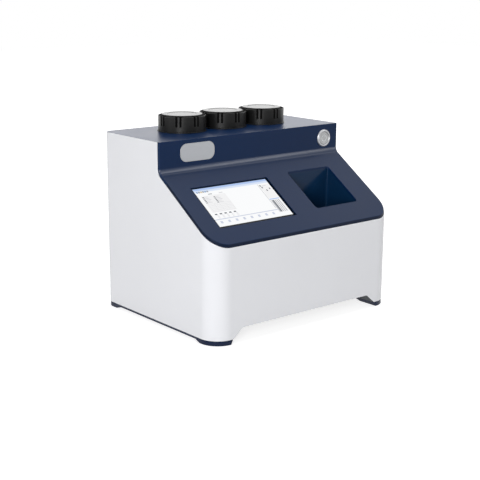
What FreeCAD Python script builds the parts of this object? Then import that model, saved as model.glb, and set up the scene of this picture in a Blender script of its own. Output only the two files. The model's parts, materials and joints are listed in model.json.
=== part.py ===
# Benchtop gas density meter (gas pycnometer) with three screw-capped sample stations.
# Millimetres. X to the right seen from the front, -Y to the front, +Z up, origin on the table
# under the middle of the bounding box. A "depth" is measured back from the front plane.
import FreeCAD
import Part
import math
import os
import Sketcher
from FreeCAD import Placement, Rotation, Vector

SIZES = {
    # outer body
    "body_width": 370.0,
    "body_depth": 287.0,
    "shell_height": 278.0,
    "foot_height": 8.0,
    "sheet_thickness": 2.0,
    "front_corner_radius": 32.0,
    "rear_corner_radius": 18.0,
    "rear_return": 30.0,
    "face_setback": 135.5,
    "bend_drop": 47.8,
    "slope_foot_height": 139.5,
    "bend_radius": 16.0,
    "skirt_rise": 14.8,
    "leg_width": 38.2,
    "leg_slant": 11.5,
    "leg_fillet": 7.0,
    # navy cover
    "cover_wall": 3.0,
    "cover_proud": 2.5,
    "cover_gap": 0.3,
    "cover_edge_radius": 2.0,
    "cover_crest_radius": 1.2,
    "cover_flange": 12.0,
    # base pan, rails and feet
    "pan_thickness": 1.5,
    "pan_flange": 14.0,
    "rail_thickness": 2.5,
    "rail_inset": 0.4,
    "foot_length": 36.0,
    "foot_ramp": 10.0,
    "pad_thickness": 1.0,
    "pad_width": 18.0,
    "pad_inset": 20.0,
    # screen
    "window_width": 150.0,
    "window_height": 86.5,
    "window_margin": 34.8,
    "window_along": 80.8,
    "glass_margin": 7.0,
    "glass_thickness": 1.8,
    "module_thickness": 7.5,
    "frame_wall": 2.0,
    "seat_gap": 0.2,
    # well
    "well_width": 89.0,
    "well_depth": 70.3,
    "well_gap": 48.3,
    "well_front": 34.3,
    "well_floor_height": 102.0,
    "well_wall": 2.5,
    "well_corner": 4.0,
    # badge
    "badge_width": 67.0,
    "badge_height": 29.7,
    "badge_corner": 12.0,
    "badge_thickness": 0.8,
    "badge_margin": 39.3,
    "badge_drop": 20.0,
    # power button
    "button_margin": 32.2,
    "button_drop": 23.0,
    "bezel_radius": 15.2,
    "bezel_height": 2.4,
    "bezel_bevel": 1.4,
    "bezel_body_radius": 12.3,
    "bezel_length": 22.0,
    "plunger_radius": 10.6,
    "plunger_proud": 1.7,
    "plunger_length": 10.0,
    "button_travel": 2.5,
    "guide_clearance": 0.3,
    "nut_flats": 30.0,
    "nut_thickness": 4.0,
    "switch_length": 14.0,
    # stations
    "station_pitch": 83.0,
    "station_x": 4.2,
    "station_rear": 69.7,
    # screw caps
    "cap_radius": 38.2,
    "cap_height": 25.4,
    "cap_bevel_width": 6.4,
    "cap_bevel_height": 2.4,
    "cap_slot_width": 3.4,
    "cap_slot_rib": 3.0,
    "cap_slot_depth": 3.2,
    "cap_slot_height": 17.5,
    "cap_slot_pairs": 8.0,
    "cap_recess_radius": 23.0,
    "cap_recess_depth": 1.0,
    "cap_disc_thickness": 1.2,
    "cap_rise": 2.4,
    "cap_web": 3.0,
    "head_cavity_radius": 9.0,
    "thread_clearance": 0.4,
    "roof_gap": 1.5,
    # plug, washer and shoulder screw
    "washer_radius": 20.0,
    "washer_thickness": 4.0,
    "hub_radius": 12.0,
    "hub_flat": 10.0,
    "shoulder_radius": 4.7,
    "head_radius": 7.0,
    "head_thickness": 1.7,
    "screw_thread_radius": 3.0,
    "screw_thread_length": 8.0,
    "thread_fit": 0.05,
    "plug_depth": 38.0,
    "plug_disc": 12.0,
    "plug_waist_radius": 14.0,
    "plug_crown": 7.0,
    "ring_section": 1.5,
    "ring_fit": 0.05,
    "ring_squeeze_room": 0.15,
    # neck, chamber and cup
    "neck_radius": 30.0,
    "neck_height": 10.0,
    "neck_flange_radius": 39.4,
    "neck_flange_height": 1.5,
    "neck_reach": 24.0,
    "bore_radius": 22.0,
    "chamber_wall": 3.0,
    "chamber_flange_radius": 28.0,
    "chamber_flange": 4.0,
    "chamber_length": 76.0,
    "chamber_floor": 4.0,
    "cup_radius": 20.5,
    "cup_wall": 0.8,
    "cup_height": 54.0,
    # thermal block and its frame
    "block_wall": 11.7,
    "block_height": 58.0,
    "bore_fit": 0.3,
    "frame_thickness": 3.0,
    "frame_depth": 60.0,
    "frame_shelf": 12.0,
    "frame_clearance": 1.0,
    # gas manifold and what it carries
    "manifold_depth": 30.0,
    "manifold_height": 30.0,
    "manifold_drop": 36.0,
    "valve_base": 20.0,
    "valve_base_depth": 8.0,
    "valve_coil_radius": 9.0,
    "valve_coil_length": 26.0,
    "reference_radius": 24.0,
    "reference_clearance": 25.7,
    "sensor_radius": 9.0,
    "sensor_height": 26.0,
    "sensor_offset": 24.0,
    "tube_radius": 1.6,
    "tube_bend": 12.0,
    # gas fittings
    "fitting_reach": 12.0,
    "fitting_radius": 6.5,
    "fitting_bore": 3.1,
    "fitting_bore_depth": 15.0,
    "fitting_thread_radius": 5.0,
    "fitting_thread_length": 14.0,
    "fitting_flats": 14.0,
    "fitting_hex": 3.0,
    "fitting_drop": 101.0,
    # mains inlet and rocker
    "inlet_margin": 65.0,
    "inlet_height": 56.0,
    "inlet_width": 27.0,
    "inlet_tall": 48.0,
    "inlet_body_depth": 24.0,
    "inlet_rim": 4.0,
    "socket_width": 24.4,
    "socket_tall": 16.8,
    "socket_depth": 17.0,
    "socket_drop": 12.0,
    "pin_width": 2.0,
    "pin_tall": 4.0,
    "pin_length": 14.0,
    "pin_spacing": 7.0,
    "rocker_width": 14.4,
    "rocker_half": 5.5,
    "rocker_face": 5.0,
    "rocker_valley": 1.4,
    "rocker_slot_half": 6.8,
    "rocker_lift": 12.0,
    "rocker_pivot_depth": 3.2,
    "rocker_tilt": 10.0,
    # rear panel vents and screws
    "vent_width": 4.0,
    "vent_height": 44.0,
    "vent_pitch": 9.0,
    "vent_count": 14.0,
    "vent_centre_height": 116.0,
    "screw_head_radius": 3.0,
    "screw_head_height": 1.6,
    "screw_inset": 25.0,
    "screw_margin": 26.0,
    # electronics
    "supply_width": 100.0,
    "supply_depth": 92.0,
    "supply_height": 40.0,
    "supply_margin": 73.0,
    "board_width": 120.0,
    "board_depth": 96.0,
    "board_thickness": 1.6,
    "board_gap": 22.0,
    "standoff_height": 10.0,
    "standoff_radius": 3.0,
    "standoff_inset": 6.0,
    "electronics_depth": 22.0,
    # how far cutting tools run past what they cut
    "overrun": 20.0,
}

doc = FreeCAD.newDocument("gas_pycnometer")
dims = doc.addObject("Spreadsheet::Sheet", "dims")
places = doc.addObject("Spreadsheet::Sheet", "places")


class Size:
    """A length, ratio or angle that carries its value and the expression that gives it."""

    def __init__(self, value, text):
        self.value = value
        self.text = text

    def __add__(self, other):
        other = as_size(other)
        return Size(self.value + other.value, f"({self.text} + {other.text})")

    def __sub__(self, other):
        other = as_size(other)
        return Size(self.value - other.value, f"({self.text} - {other.text})")

    def __mul__(self, other):
        other = as_size(other)
        return Size(self.value * other.value, f"({self.text} * {other.text})")

    def __truediv__(self, other):
        other = as_size(other)
        return Size(self.value / other.value, f"({self.text} / {other.text})")

    def __neg__(self):
        return Size(-self.value, f"(-{self.text})")

    def __radd__(self, other):
        return as_size(other) + self

    def __rsub__(self, other):
        return as_size(other) - self

    def __rmul__(self, other):
        return as_size(other) * self

    def __rtruediv__(self, other):
        return as_size(other) / self


def as_size(number):
    return number if isinstance(number, Size) else Size(float(number), str(float(number)))


def square_root(size):
    return Size(math.sqrt(size.value), f"sqrt({size.text})")


def arc_tangent(ratio):
    return Size(math.degrees(math.atan(ratio.value)), f"atan({ratio.text})")


class SizeSheet:
    """Gives the driving dimensions by name, each tied to its cell of the sheet."""

    def __init__(self, sheet, sizes):
        for row, (alias, value) in enumerate(sizes.items(), start=1):
            sheet.set(f"A{row}", alias)
            sheet.set(f"B{row}", str(value))
            sheet.setAlias(f"B{row}", alias)
            setattr(self, alias, Size(value, f"dims.{alias}"))


class PlaceSheet:
    """Works shared places out once, in a second sheet, so that expressions stay short."""

    def __init__(self, sheet):
        self.sheet = sheet
        self.rows = 0

    def work_out(self, alias, size):
        self.rows += 1
        self.sheet.set(f"A{self.rows}", alias)
        self.sheet.set(f"B{self.rows}", "=" + size.text)
        self.sheet.setAlias(f"B{self.rows}", alias)
        setattr(self, alias, Size(size.value, f"places.{alias}"))


d = SizeSheet(dims, SIZES)
p = PlaceSheet(places)
doc.recompute()

p.work_out("front_plane", -(d.body_depth + d.fitting_reach) / 2)
p.work_out("half_width", d.body_width / 2)
p.work_out("top", d.foot_height + d.shell_height)
p.work_out("inner_inset", d.sheet_thickness + d.cover_gap)
p.work_out("slope_foot", d.foot_height + d.slope_foot_height)
p.work_out("slope_rise", d.shell_height - d.bend_drop - d.slope_foot_height)
p.work_out("slope_tangent", p.slope_rise / d.face_setback)
p.work_out("slope_cosine", 1 / square_root(1 + p.slope_tangent * p.slope_tangent))
p.work_out("slope_sine", p.slope_tangent * p.slope_cosine)
p.work_out("slope_angle", arc_tangent(p.slope_tangent))
p.work_out("face_depth", d.face_setback - d.cover_proud)
p.work_out("panel_face", d.body_depth - d.sheet_thickness)
p.work_out("cap_base", d.neck_flange_height + d.seat_gap)
p.work_out("cap_top", p.cap_base + d.cap_height)
p.work_out("neck_top", d.neck_flange_height + d.neck_height)
p.work_out("cap_roof", p.neck_top + d.roof_gap)
p.work_out("shoulder_top", p.cap_roof - d.seat_gap)
p.work_out("washer_base", p.shoulder_top + d.seat_gap)
p.work_out("web_base", p.washer_base + d.washer_thickness + d.seat_gap)
p.work_out("web_top", p.web_base + d.cap_web)
p.work_out("disc_base", p.cap_top - d.cap_recess_depth - d.cap_disc_thickness)
p.work_out("hub_top", p.web_base - d.seat_gap * 2)
p.work_out("head_base", p.web_top + d.cap_rise + d.seat_gap)
p.work_out("chamber_top", -d.neck_reach)
p.work_out("block_top", p.top - d.neck_reach - d.chamber_flange)
p.work_out("block_base", p.block_top - d.block_height)
p.work_out("chamber_base", p.top - d.neck_reach - d.chamber_length)
p.work_out("manifold_top", p.chamber_base - d.manifold_drop)
p.work_out("manifold_base", p.manifold_top - d.manifold_height)
p.work_out("window_x", d.window_margin + d.window_width / 2 - p.half_width)
p.work_out("well_x", p.window_x + d.window_width / 2 + d.well_gap + d.well_width / 2)
p.work_out("badge_x", d.badge_margin + d.badge_width / 2 - p.half_width)
p.work_out("button_x", p.half_width - d.button_margin)
p.work_out("fitting_z", p.top - d.fitting_drop)
p.work_out("inlet_x", p.half_width - d.inlet_margin)
p.work_out("supply_x", d.supply_margin + d.supply_width / 2 - p.half_width)
p.work_out("board_x", p.supply_x + d.supply_width / 2 + d.board_gap + d.board_width / 2)
p.work_out("station_depth", d.body_depth - d.station_rear)
p.work_out("pan_floor", d.foot_height + d.skirt_rise + d.pan_thickness)
p.work_out("leg_inner", p.half_width - d.leg_width)
p.work_out("chamber_radius", d.bore_radius + d.chamber_wall)
p.work_out("frame_half", d.station_pitch + p.chamber_radius + d.frame_clearance)
p.work_out("block_half_width", p.frame_half + d.frame_thickness + d.frame_shelf)
p.work_out("block_half_depth", p.chamber_radius + d.bore_fit + d.block_wall)
doc.recompute()

nodes = []


def bind(obj, path, size):
    obj.setExpression(path, as_size(size).text)


def seat(obj, x, depth, z, turn=0.0, axis=Vector(1, 0, 0)):
    """Places an object by its distance back from the front plane, turned about one axis."""
    obj.Placement = Placement(Vector(), Rotation(axis, turn))
    bind(obj, "Placement.Base.x", x)
    bind(obj, "Placement.Base.y", p.front_plane + depth)
    bind(obj, "Placement.Base.z", z)
    return obj


def seat_on_slope(obj, x, along, lift):
    """Places an object on the slanted panel: along the slope from its foot, and lifted off it."""
    depth = along * p.slope_cosine - lift * p.slope_sine
    height = p.slope_foot + along * p.slope_sine + lift * p.slope_cosine
    seat(obj, x, depth, height, 1.0)
    bind(obj, "Placement.Rotation.Angle", p.slope_angle)
    return obj


def keep(obj, node):
    obj.Label = node
    nodes.append(obj)
    return obj


def box(name, width, depth, height):
    obj = doc.addObject("Part::Box", name)
    bind(obj, "Length", width)
    bind(obj, "Width", depth)
    bind(obj, "Height", height)
    return obj


def centred_box(name, x, depth, z, width, run, height):
    """A box given by the middle of its width, its front face and its underside."""
    return seat(box(name, width, run, height), x - width / 2, depth, z)


def cylinder(name, radius, height):
    obj = doc.addObject("Part::Cylinder", name)
    bind(obj, "Radius", radius)
    bind(obj, "Height", height)
    return obj


def hexagon(name, flats, height):
    obj = doc.addObject("Part::Prism", name)
    obj.Polygon = 6
    bind(obj, "Circumradius", flats / math.sqrt(3))
    bind(obj, "Height", height)
    return obj


def group(name, shapes):
    obj = doc.addObject("Part::Compound", name)
    obj.Links = shapes
    return obj


def cut(name, base, tools):
    obj = doc.addObject("Part::Cut", name)
    obj.Base = base
    obj.Tool = tools[0] if len(tools) == 1 else fuse(name + "_tools", tools)
    return obj


def fuse(name, shapes):
    obj = doc.addObject("Part::MultiFuse", name)
    obj.Shapes = shapes
    return obj


def common(name, first, second):
    obj = doc.addObject("Part::MultiCommon", name)
    obj.Shapes = [first, second]
    return obj


def new_body(name):
    return doc.addObject("PartDesign::Body", name)


def origin_feature(body, role):
    return next(item for item in body.Origin.OriginFeatures if item.Role == role)


def sketch_on(body, role, offset=0.0):
    sketch = body.newObject("Sketcher::SketchObject", body.Name + "_sketch")
    sketch.AttachmentSupport = [(origin_feature(body, role), "")]
    sketch.MapMode = "FlatFace"
    bind(sketch, "AttachmentOffset.Base.z", offset)
    return sketch


def fix(sketch, kind, element, point, size):
    """Holds one coordinate of a point at a size, or on the sketch axis where it is zero."""
    size = as_size(size)
    if size.text == "0.0":
        axis = -2 if kind == "DistanceX" else -1
        sketch.addConstraint(Sketcher.Constraint("PointOnObject", element, point, axis))
        return
    index = sketch.addConstraint(Sketcher.Constraint(kind, -1, 1, element, point, size.value))
    bind(sketch, f"Constraints[{index}]", size)


def towards(start, end):
    reach = math.dist(start, end)
    return ((end[0] - start[0]) / reach, (end[1] - start[1]) / reach)


def corner_ends(before, here, after, radius):
    """Gives the two tangent points and the centre of the arc that rounds a corner."""
    back = towards(here, before)
    ahead = towards(here, after)
    half = math.acos(back[0] * ahead[0] + back[1] * ahead[1]) / 2
    run = radius / math.tan(half)
    middle = towards((0, 0), (back[0] + ahead[0], back[1] + ahead[1]))
    reach = radius / math.sin(half)
    start = (here[0] + back[0] * run, here[1] + back[1] * run)
    end = (here[0] + ahead[0] * run, here[1] + ahead[1] * run)
    centre = (here[0] + middle[0] * reach, here[1] + middle[1] * reach)
    return start, end, centre


def add_arc(sketch, start, end, centre, radius):
    """Adds an arc from start to end and tells which of its own ends comes first."""
    angle_1 = math.atan2(start[1] - centre[1], start[0] - centre[0])
    angle_2 = math.atan2(end[1] - centre[1], end[0] - centre[0])
    anticlockwise = (angle_2 - angle_1) % (2 * math.pi) < math.pi
    circle = Part.Circle(Vector(*centre, 0), Vector(0, 0, 1), radius)
    if anticlockwise:
        return sketch.addGeometry(Part.ArcOfCircle(circle, angle_1, angle_2)), 1, 2
    return sketch.addGeometry(Part.ArcOfCircle(circle, angle_2, angle_1)), 2, 1


def draw_outline(sketch, corners):
    """Draws a closed outline of straight sides; a corner with a third size is rounded."""
    spots = [(as_size(corner[0]).value, as_size(corner[1]).value) for corner in corners]
    ends = []
    for index, corner in enumerate(corners):
        here = spots[index]
        if len(corner) == 3:
            after = spots[(index + 1) % len(spots)]
            ends.append(corner_ends(spots[index - 1], here, after, as_size(corner[2]).value))
        else:
            ends.append((here, here, None))
    lines = []
    for index in range(len(corners)):
        start = ends[index][1]
        end = ends[(index + 1) % len(ends)][0]
        lines.append(sketch.addGeometry(Part.LineSegment(Vector(*start, 0), Vector(*end, 0))))
    for index, corner in enumerate(corners):
        line_in = lines[index - 1]
        line_out = lines[index]
        if len(corner) == 2:
            sketch.addConstraint(Sketcher.Constraint("Coincident", line_in, 2, line_out, 1))
            fix(sketch, "DistanceX", line_out, 1, corner[0])
            fix(sketch, "DistanceY", line_out, 1, corner[1])
            continue
        radius = as_size(corner[2])
        arc, first, last = add_arc(sketch, *ends[index], radius.value)
        sketch.addConstraint(Sketcher.Constraint("Tangent", line_in, 2, arc, first))
        sketch.addConstraint(Sketcher.Constraint("Tangent", arc, last, line_out, 1))
        bend = sketch.addConstraint(Sketcher.Constraint("Radius", arc, radius.value))
        bind(sketch, f"Constraints[{bend}]", radius)
        tip = sketch.addGeometry(Part.Point(Vector(*spots[index], 0)), True)
        sketch.addConstraint(Sketcher.Constraint("PointOnObject", tip, 1, line_in))
        sketch.addConstraint(Sketcher.Constraint("PointOnObject", tip, 1, line_out))
        fix(sketch, "DistanceX", tip, 1, corner[0])
        fix(sketch, "DistanceY", tip, 1, corner[1])


def draw_circle(sketch, x, y, radius):
    x, y, radius = as_size(x), as_size(y), as_size(radius)
    circle = Part.Circle(Vector(x.value, y.value, 0), Vector(0, 0, 1), radius.value)
    ring = sketch.addGeometry(circle)
    size = sketch.addConstraint(Sketcher.Constraint("Radius", ring, radius.value))
    bind(sketch, f"Constraints[{size}]", radius)
    fix(sketch, "DistanceX", ring, 3, x)
    fix(sketch, "DistanceY", ring, 3, y)


def rounded_rectangle(left, right, low, high, low_radius, high_radius):
    return [(left, low, low_radius), (right, low, low_radius),
            (right, high, high_radius), (left, high, high_radius)]


def rectangle(left, right, low, high):
    return [(left, low), (right, low), (right, high), (left, high)]


def pad(body, sketch, length, symmetric=False, reverse=False):
    feature = body.newObject("PartDesign::Pad", body.Name + "_pad")
    feature.Profile = sketch
    feature.SideType = "Symmetric" if symmetric else "One side"
    feature.Reversed = reverse
    bind(feature, "Length", length)
    return feature


def pocket(body, sketch, length, symmetric=False, reverse=False):
    """Cuts a sketch into the body and makes sure that it took material away."""
    doc.recompute()
    before = body.Shape.Volume
    feature = body.newObject("PartDesign::Pocket", body.Name + "_pocket")
    feature.Profile = sketch
    feature.SideType = "Symmetric" if symmetric else "One side"
    feature.Reversed = reverse
    bind(feature, "Length", length)
    doc.recompute()
    if not feature.Shape.Volume < before - 1e-6:
        raise RuntimeError(f"{feature.Name} cuts nothing")
    return feature


def turned(name, outline):
    """Revolves an outline of radius and height about the body's own Z axis."""
    body = new_body(name)
    sketch = sketch_on(body, "XZ_Plane")
    draw_outline(sketch, outline)
    feature = body.newObject("PartDesign::Revolution", name + "_turn")
    feature.Profile = sketch
    feature.ReferenceAxis = (sketch, ["V_Axis"])
    feature.Angle = 360.0
    return body


def slope_height(depth, proud):
    """Height of the slanted surface at a depth, lifted off the shell's edge by proud."""
    return p.slope_foot + p.slope_tangent * depth + proud / p.slope_cosine


def plan_prism(name, inset, rear_inset, base, height):
    """The body's plan outline, drawn in by an inset, standing from base upward."""
    body = new_body(name)
    sketch = sketch_on(body, "XY_Plane", base)
    outline = rounded_rectangle(
        inset - p.half_width, p.half_width - inset, inset, d.body_depth - rear_inset,
        d.front_corner_radius - inset, d.rear_corner_radius - inset)
    draw_outline(sketch, outline)
    pad(body, sketch, height)
    return seat(body, 0, 0, 0)


def side_profile_cut(body, proud):
    """Takes away what lies in front of the upright face and above the slanted panel."""
    sketch = sketch_on(body, "YZ_Plane")
    face = d.face_setback - proud
    draw_outline(sketch, [
        (-d.overrun, slope_height(-d.overrun, proud)),
        (face, slope_height(face, proud), d.bend_radius - proud),
        (face, p.top + d.overrun),
        (-d.overrun, p.top + d.overrun)])
    return pocket(body, sketch, d.body_width + 2 * d.overrun, symmetric=True)


def housing_form(name, inset, proud, base, top):
    """The solid form of the body: plan outline, upright face, bend and slanted panel."""
    body = plan_prism(name, inset, inset, base, top - base)
    side_profile_cut(body, proud)
    return body


def leg_outline(margin):
    """Outline of the space between the legs, drawn in the XZ plane."""
    rise = d.foot_height + d.skirt_rise
    inner = p.leg_inner
    shoulder = inner - d.leg_slant
    low = d.foot_height - margin
    run = margin * d.leg_slant / d.skirt_rise
    return [(-inner - run, low), (inner + run, low),
            (shoulder, rise, d.leg_fillet), (-shoulder, rise, d.leg_fillet)]


def leg_space(name, depth, run):
    """The raised space between the legs as a solid bar across the body."""
    body = new_body(name)
    sketch = sketch_on(body, "XZ_Plane")
    draw_outline(sketch, leg_outline(as_size(3.0)))
    pad(body, sketch, run, reverse=True)
    return seat(body, 0, depth, 0)


def station_x(index):
    return d.station_x + d.station_pitch * index


# --- casing -----------------------------------------------------------------------------------


def outer_shell():
    """White wrap of sheet steel: both sides and the front skirt, with returns at the rear."""
    form = housing_form("shell_form", as_size(0.0), as_size(0.0), d.foot_height, p.top)
    hollow = plan_prism("shell_hollow", d.sheet_thickness, d.sheet_thickness,
                        d.foot_height - d.overrun, d.shell_height + 2 * d.overrun)
    rear_width = d.body_width - 2 * d.rear_return
    rear = centred_box("shell_rear", as_size(0.0), p.panel_face - d.overrun, d.foot_height - d.overrun,
                       rear_width, 2 * d.overrun, d.shell_height + 2 * d.overrun)
    legs = leg_space("shell_legs", -d.overrun, 2 * d.overrun)
    return keep(cut("outer_shell", form, [hollow, rear, legs]), "outer_shell")


def round_edges(body, radius, belongs):
    """Rounds those edges of the body's tip whose middle point belongs."""
    doc.recompute()
    tip = body.Tip
    names = []
    for number, edge in enumerate(tip.Shape.Edges, start=1):
        first, last = edge.ParameterRange
        if belongs(edge.valueAt((first + last) / 2)):
            names.append(f"Edge{number}")
    rounding = body.newObject("PartDesign::Fillet", body.Name + "_rounding")
    rounding.Base = (tip, names)
    bind(rounding, "Radius", radius)


def on_cover_rim(middle):
    """Tells the rim of the upright face, the bend, the slope and its front lip."""
    lift = (middle.z - p.slope_foot.value) * p.slope_cosine.value - middle.y * p.slope_sine.value
    below_top = middle.z < p.top.value - 1 and middle.y < d.face_setback.value
    beside = abs(middle.x) > p.half_width.value - d.front_corner_radius.value
    in_front = middle.y < p.inner_inset.value + 1
    return below_top and (beside or in_front) and lift > d.cover_proud.value - 1


def on_cover_crest(middle):
    """Tells the edge where the upright face meets the top."""
    return middle.z > p.top.value - 1 and middle.y < d.face_setback.value


def top_cover():
    """Navy cover: top, upright face, bend, slanted panel and lip in one moulding."""
    inset = p.inner_inset
    form = housing_form("cover_form", inset, d.cover_proud, p.slope_foot - d.overrun, p.top)
    round_edges(form, d.cover_edge_radius, on_cover_rim)
    round_edges(form, d.cover_crest_radius, on_cover_crest)
    hollow = housing_form("cover_hollow", inset + d.cover_wall, d.cover_proud - d.cover_wall,
                          p.slope_foot - 2 * d.overrun, p.top - d.cover_wall)
    below = new_body("cover_below")
    sketch = sketch_on(below, "YZ_Plane")
    drop = d.cover_proud - d.cover_flange
    face = d.face_setback - drop
    back = d.body_depth + d.overrun
    draw_outline(sketch, [
        (-d.overrun, slope_height(-d.overrun, drop)),
        (face, slope_height(face, drop), d.bend_radius - drop),
        (face, p.top - d.cover_flange),
        (back, p.top - d.cover_flange),
        (back, d.foot_height),
        (-d.overrun, d.foot_height)])
    pad(below, sketch, d.body_width, symmetric=True)
    seat(below, 0, 0, 0)
    tools = [hollow, below, well_space("cover_well", p.slope_foot), screen_window(), button_hole()]
    for index in (-1, 0, 1):
        hole = cylinder("cover_neck_hole", d.neck_radius, 2 * d.overrun)
        tools.append(seat(hole, station_x(index), p.station_depth, p.top - d.overrun))
    return keep(cut("top_cover", form, tools), "top_cover")


def screen_window():
    opening = box("screen_window", d.window_width, d.window_height, 2 * d.overrun)
    return seat_on_slope(opening, p.window_x - d.window_width / 2,
                         d.window_along - d.window_height / 2, -d.overrun)


def button_hole():
    hole = cylinder("button_hole", d.bezel_body_radius + d.seat_gap, 2 * d.overrun)
    return seat(hole, p.button_x, p.face_depth + d.overrun / 2, p.top - d.button_drop, 90.0)


def well_space(name, base):
    """The well's own space, with rounded upright corners, from a height up past the slope."""
    body = new_body(name)
    sketch = sketch_on(body, "XY_Plane")
    half = d.well_width / 2
    draw_outline(sketch, rounded_rectangle(-half, half, as_size(0.0), d.well_depth,
                                           d.well_corner, d.well_corner))
    pad(body, sketch, p.top - base)
    return seat(body, p.well_x, d.well_front, base)


def well_tray():
    """Deep tray whose rim lies under the opening in the slanted panel."""
    body = new_body("well_tray_form")
    wall = d.well_wall
    left = p.well_x - d.well_width / 2 - wall
    right = p.well_x + d.well_width / 2 + wall
    floor = d.foot_height + d.well_floor_height
    sketch = sketch_on(body, "XY_Plane", floor - wall)
    draw_outline(sketch, rounded_rectangle(left, right, d.well_front - wall,
                                           d.well_front + d.well_depth + wall,
                                           d.well_corner + wall, d.well_corner + wall))
    pad(body, sketch, p.top - floor)
    side_profile_cut(body, d.cover_proud - d.cover_wall - d.seat_gap)
    seat(body, 0, 0, 0)
    return keep(cut("well_tray", body, [well_space("well_hollow", floor)]), "well_tray")


def base_pan():
    """Folded floor of the body: raised in the middle, down in the legs, with side flanges."""
    rise = d.foot_height + d.skirt_rise
    wall = d.pan_thickness
    side = p.half_width - p.inner_inset
    inner = p.leg_inner
    shoulder = inner - d.leg_slant
    flange_top = d.foot_height + d.pan_flange
    body = new_body("pan_profile")
    sketch = sketch_on(body, "XZ_Plane")
    draw_outline(sketch, [
        (-side, flange_top), (-side, d.foot_height), (-inner, d.foot_height), (-shoulder, rise),
        (shoulder, rise), (inner, d.foot_height), (side, d.foot_height), (side, flange_top),
        (side - wall, flange_top), (side - wall, d.foot_height + wall),
        (inner + wall, d.foot_height + wall), (shoulder + wall, rise + wall),
        (-shoulder - wall, rise + wall), (-inner - wall, d.foot_height + wall),
        (wall - side, d.foot_height + wall), (wall - side, flange_top)])
    pad(body, sketch, d.body_depth, reverse=True)
    seat(body, 0, 0, 0)
    plan = plan_prism("pan_plan", p.inner_inset, 2 * d.sheet_thickness + d.cover_gap,
                      as_size(0.0), d.foot_height + d.overrun * 2)
    return keep(common("base_pan", body, plan), "base_pan")


def foot_rail(side, sign):
    """Navy strip under one side of the body, thickened into a foot at each end."""
    body = new_body(f"{side}_rail_profile")
    inner = sign * p.leg_inner
    outer = sign * p.half_width
    middle = (inner + outer) / 2
    sketch = sketch_on(body, "YZ_Plane")
    strip = d.foot_height - d.rail_thickness
    rear = d.body_depth - d.foot_length
    ramp = d.foot_ramp
    draw_outline(sketch, [
        (0, d.foot_height), (0, d.pad_thickness), (d.foot_length, d.pad_thickness),
        (d.foot_length + ramp, strip), (rear - ramp, strip), (rear, d.pad_thickness),
        (d.body_depth, d.pad_thickness), (d.body_depth, d.foot_height)])
    pad(body, sketch, d.leg_width, symmetric=True)
    seat(body, middle, 0, 0)
    plan = plan_prism(f"{side}_rail_plan", d.rail_inset, d.rail_inset, as_size(0.0), p.top)
    return keep(common(f"{side}_foot_rail", body, plan), f"{side}_foot_rail")


def foot_pads():
    """Four rubber pads, one under each foot, clear of the rounded corners."""
    reach = p.half_width - d.pad_inset
    half = d.pad_width / 2
    pads = []
    for x in (-reach, reach):
        for depth in (d.pad_inset, d.body_depth - d.pad_inset):
            pads.append(centred_box("foot_pad", x, depth - half, as_size(0.0),
                                    d.pad_width, d.pad_width, d.pad_thickness))
    return keep(group("foot_pads", pads), "foot_pads")


def rear_panel():
    """Flat rear panel inside the shell's returns, with vents and cut-outs."""
    body = new_body("rear_panel")
    side = p.half_width - d.rear_corner_radius - d.cover_gap
    rise = d.foot_height + d.skirt_rise
    top = p.top - d.cover_flange - d.cover_gap
    inner = p.leg_inner
    shoulder = inner - d.leg_slant
    sketch = sketch_on(body, "XZ_Plane")
    draw_outline(sketch, [
        (-side, d.foot_height), (-inner, d.foot_height), (-shoulder, rise), (shoulder, rise),
        (inner, d.foot_height), (side, d.foot_height), (side, top), (-side, top)])
    pad(body, sketch, d.sheet_thickness)
    holes = sketch_on(body, "XZ_Plane")
    low = d.foot_height + d.inlet_height - d.inlet_tall / 2 - d.guide_clearance
    high = d.foot_height + d.inlet_height + d.inlet_tall / 2 + d.guide_clearance
    half = d.inlet_width / 2 + d.guide_clearance
    draw_outline(holes, rectangle(p.inlet_x - half, p.inlet_x + half, low, high))
    for x in (fitting_x(-1), fitting_x(1)):
        draw_circle(holes, x, p.fitting_z,
                    d.fitting_thread_radius + d.seat_gap)
    pocket(body, holes, 2 * d.overrun, symmetric=True)
    slot = sketch_on(body, "XZ_Plane")
    first = -(d.vent_count - 1) * d.vent_pitch / 2
    middle = d.foot_height + d.vent_centre_height
    end = d.vent_width / 2
    draw_outline(slot, rounded_rectangle(first - end, first + end, middle - d.vent_height / 2,
                                         middle + d.vent_height / 2, end * 0.9, end * 0.9))
    vent = pocket(body, slot, 2 * d.overrun, symmetric=True)
    row = body.newObject("PartDesign::LinearPattern", "vent_row")
    row.Originals = [vent]
    row.Direction = (slot, ["H_Axis"])
    bind(row, "Length", (d.vent_count - 1) * d.vent_pitch)
    bind(row, "Occurrences", d.vent_count)
    body.Tip = row
    seat(body, 0, p.panel_face, 0)
    return keep(body, "rear_panel")


def panel_screws():
    """Pan-head screws that hold the rear panel to the shell's returns."""
    x = p.half_width - d.screw_inset
    heights = (d.foot_height + d.screw_margin, d.foot_height + d.shell_height / 2,
               p.top - d.screw_margin)
    screws = []
    for side in (-x, x):
        for height in heights:
            head = cylinder("panel_screw", d.screw_head_radius, d.screw_head_height)
            screws.append(seat(head, side, d.body_depth, height, -90.0))
    return keep(group("panel_screws", screws), "panel_screws")


# --- screen -----------------------------------------------------------------------------------


def screen_plate(name, margin, thickness, under):
    """A plate centred on the screen window, its upper face at a distance under the cover."""
    width = d.window_width + 2 * margin
    height = d.window_height + 2 * margin
    lift = d.cover_proud - d.cover_wall - d.seat_gap - under - thickness
    return seat_on_slope(box(name, width, height, thickness), p.window_x - width / 2,
                         d.window_along - height / 2, lift)


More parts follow.
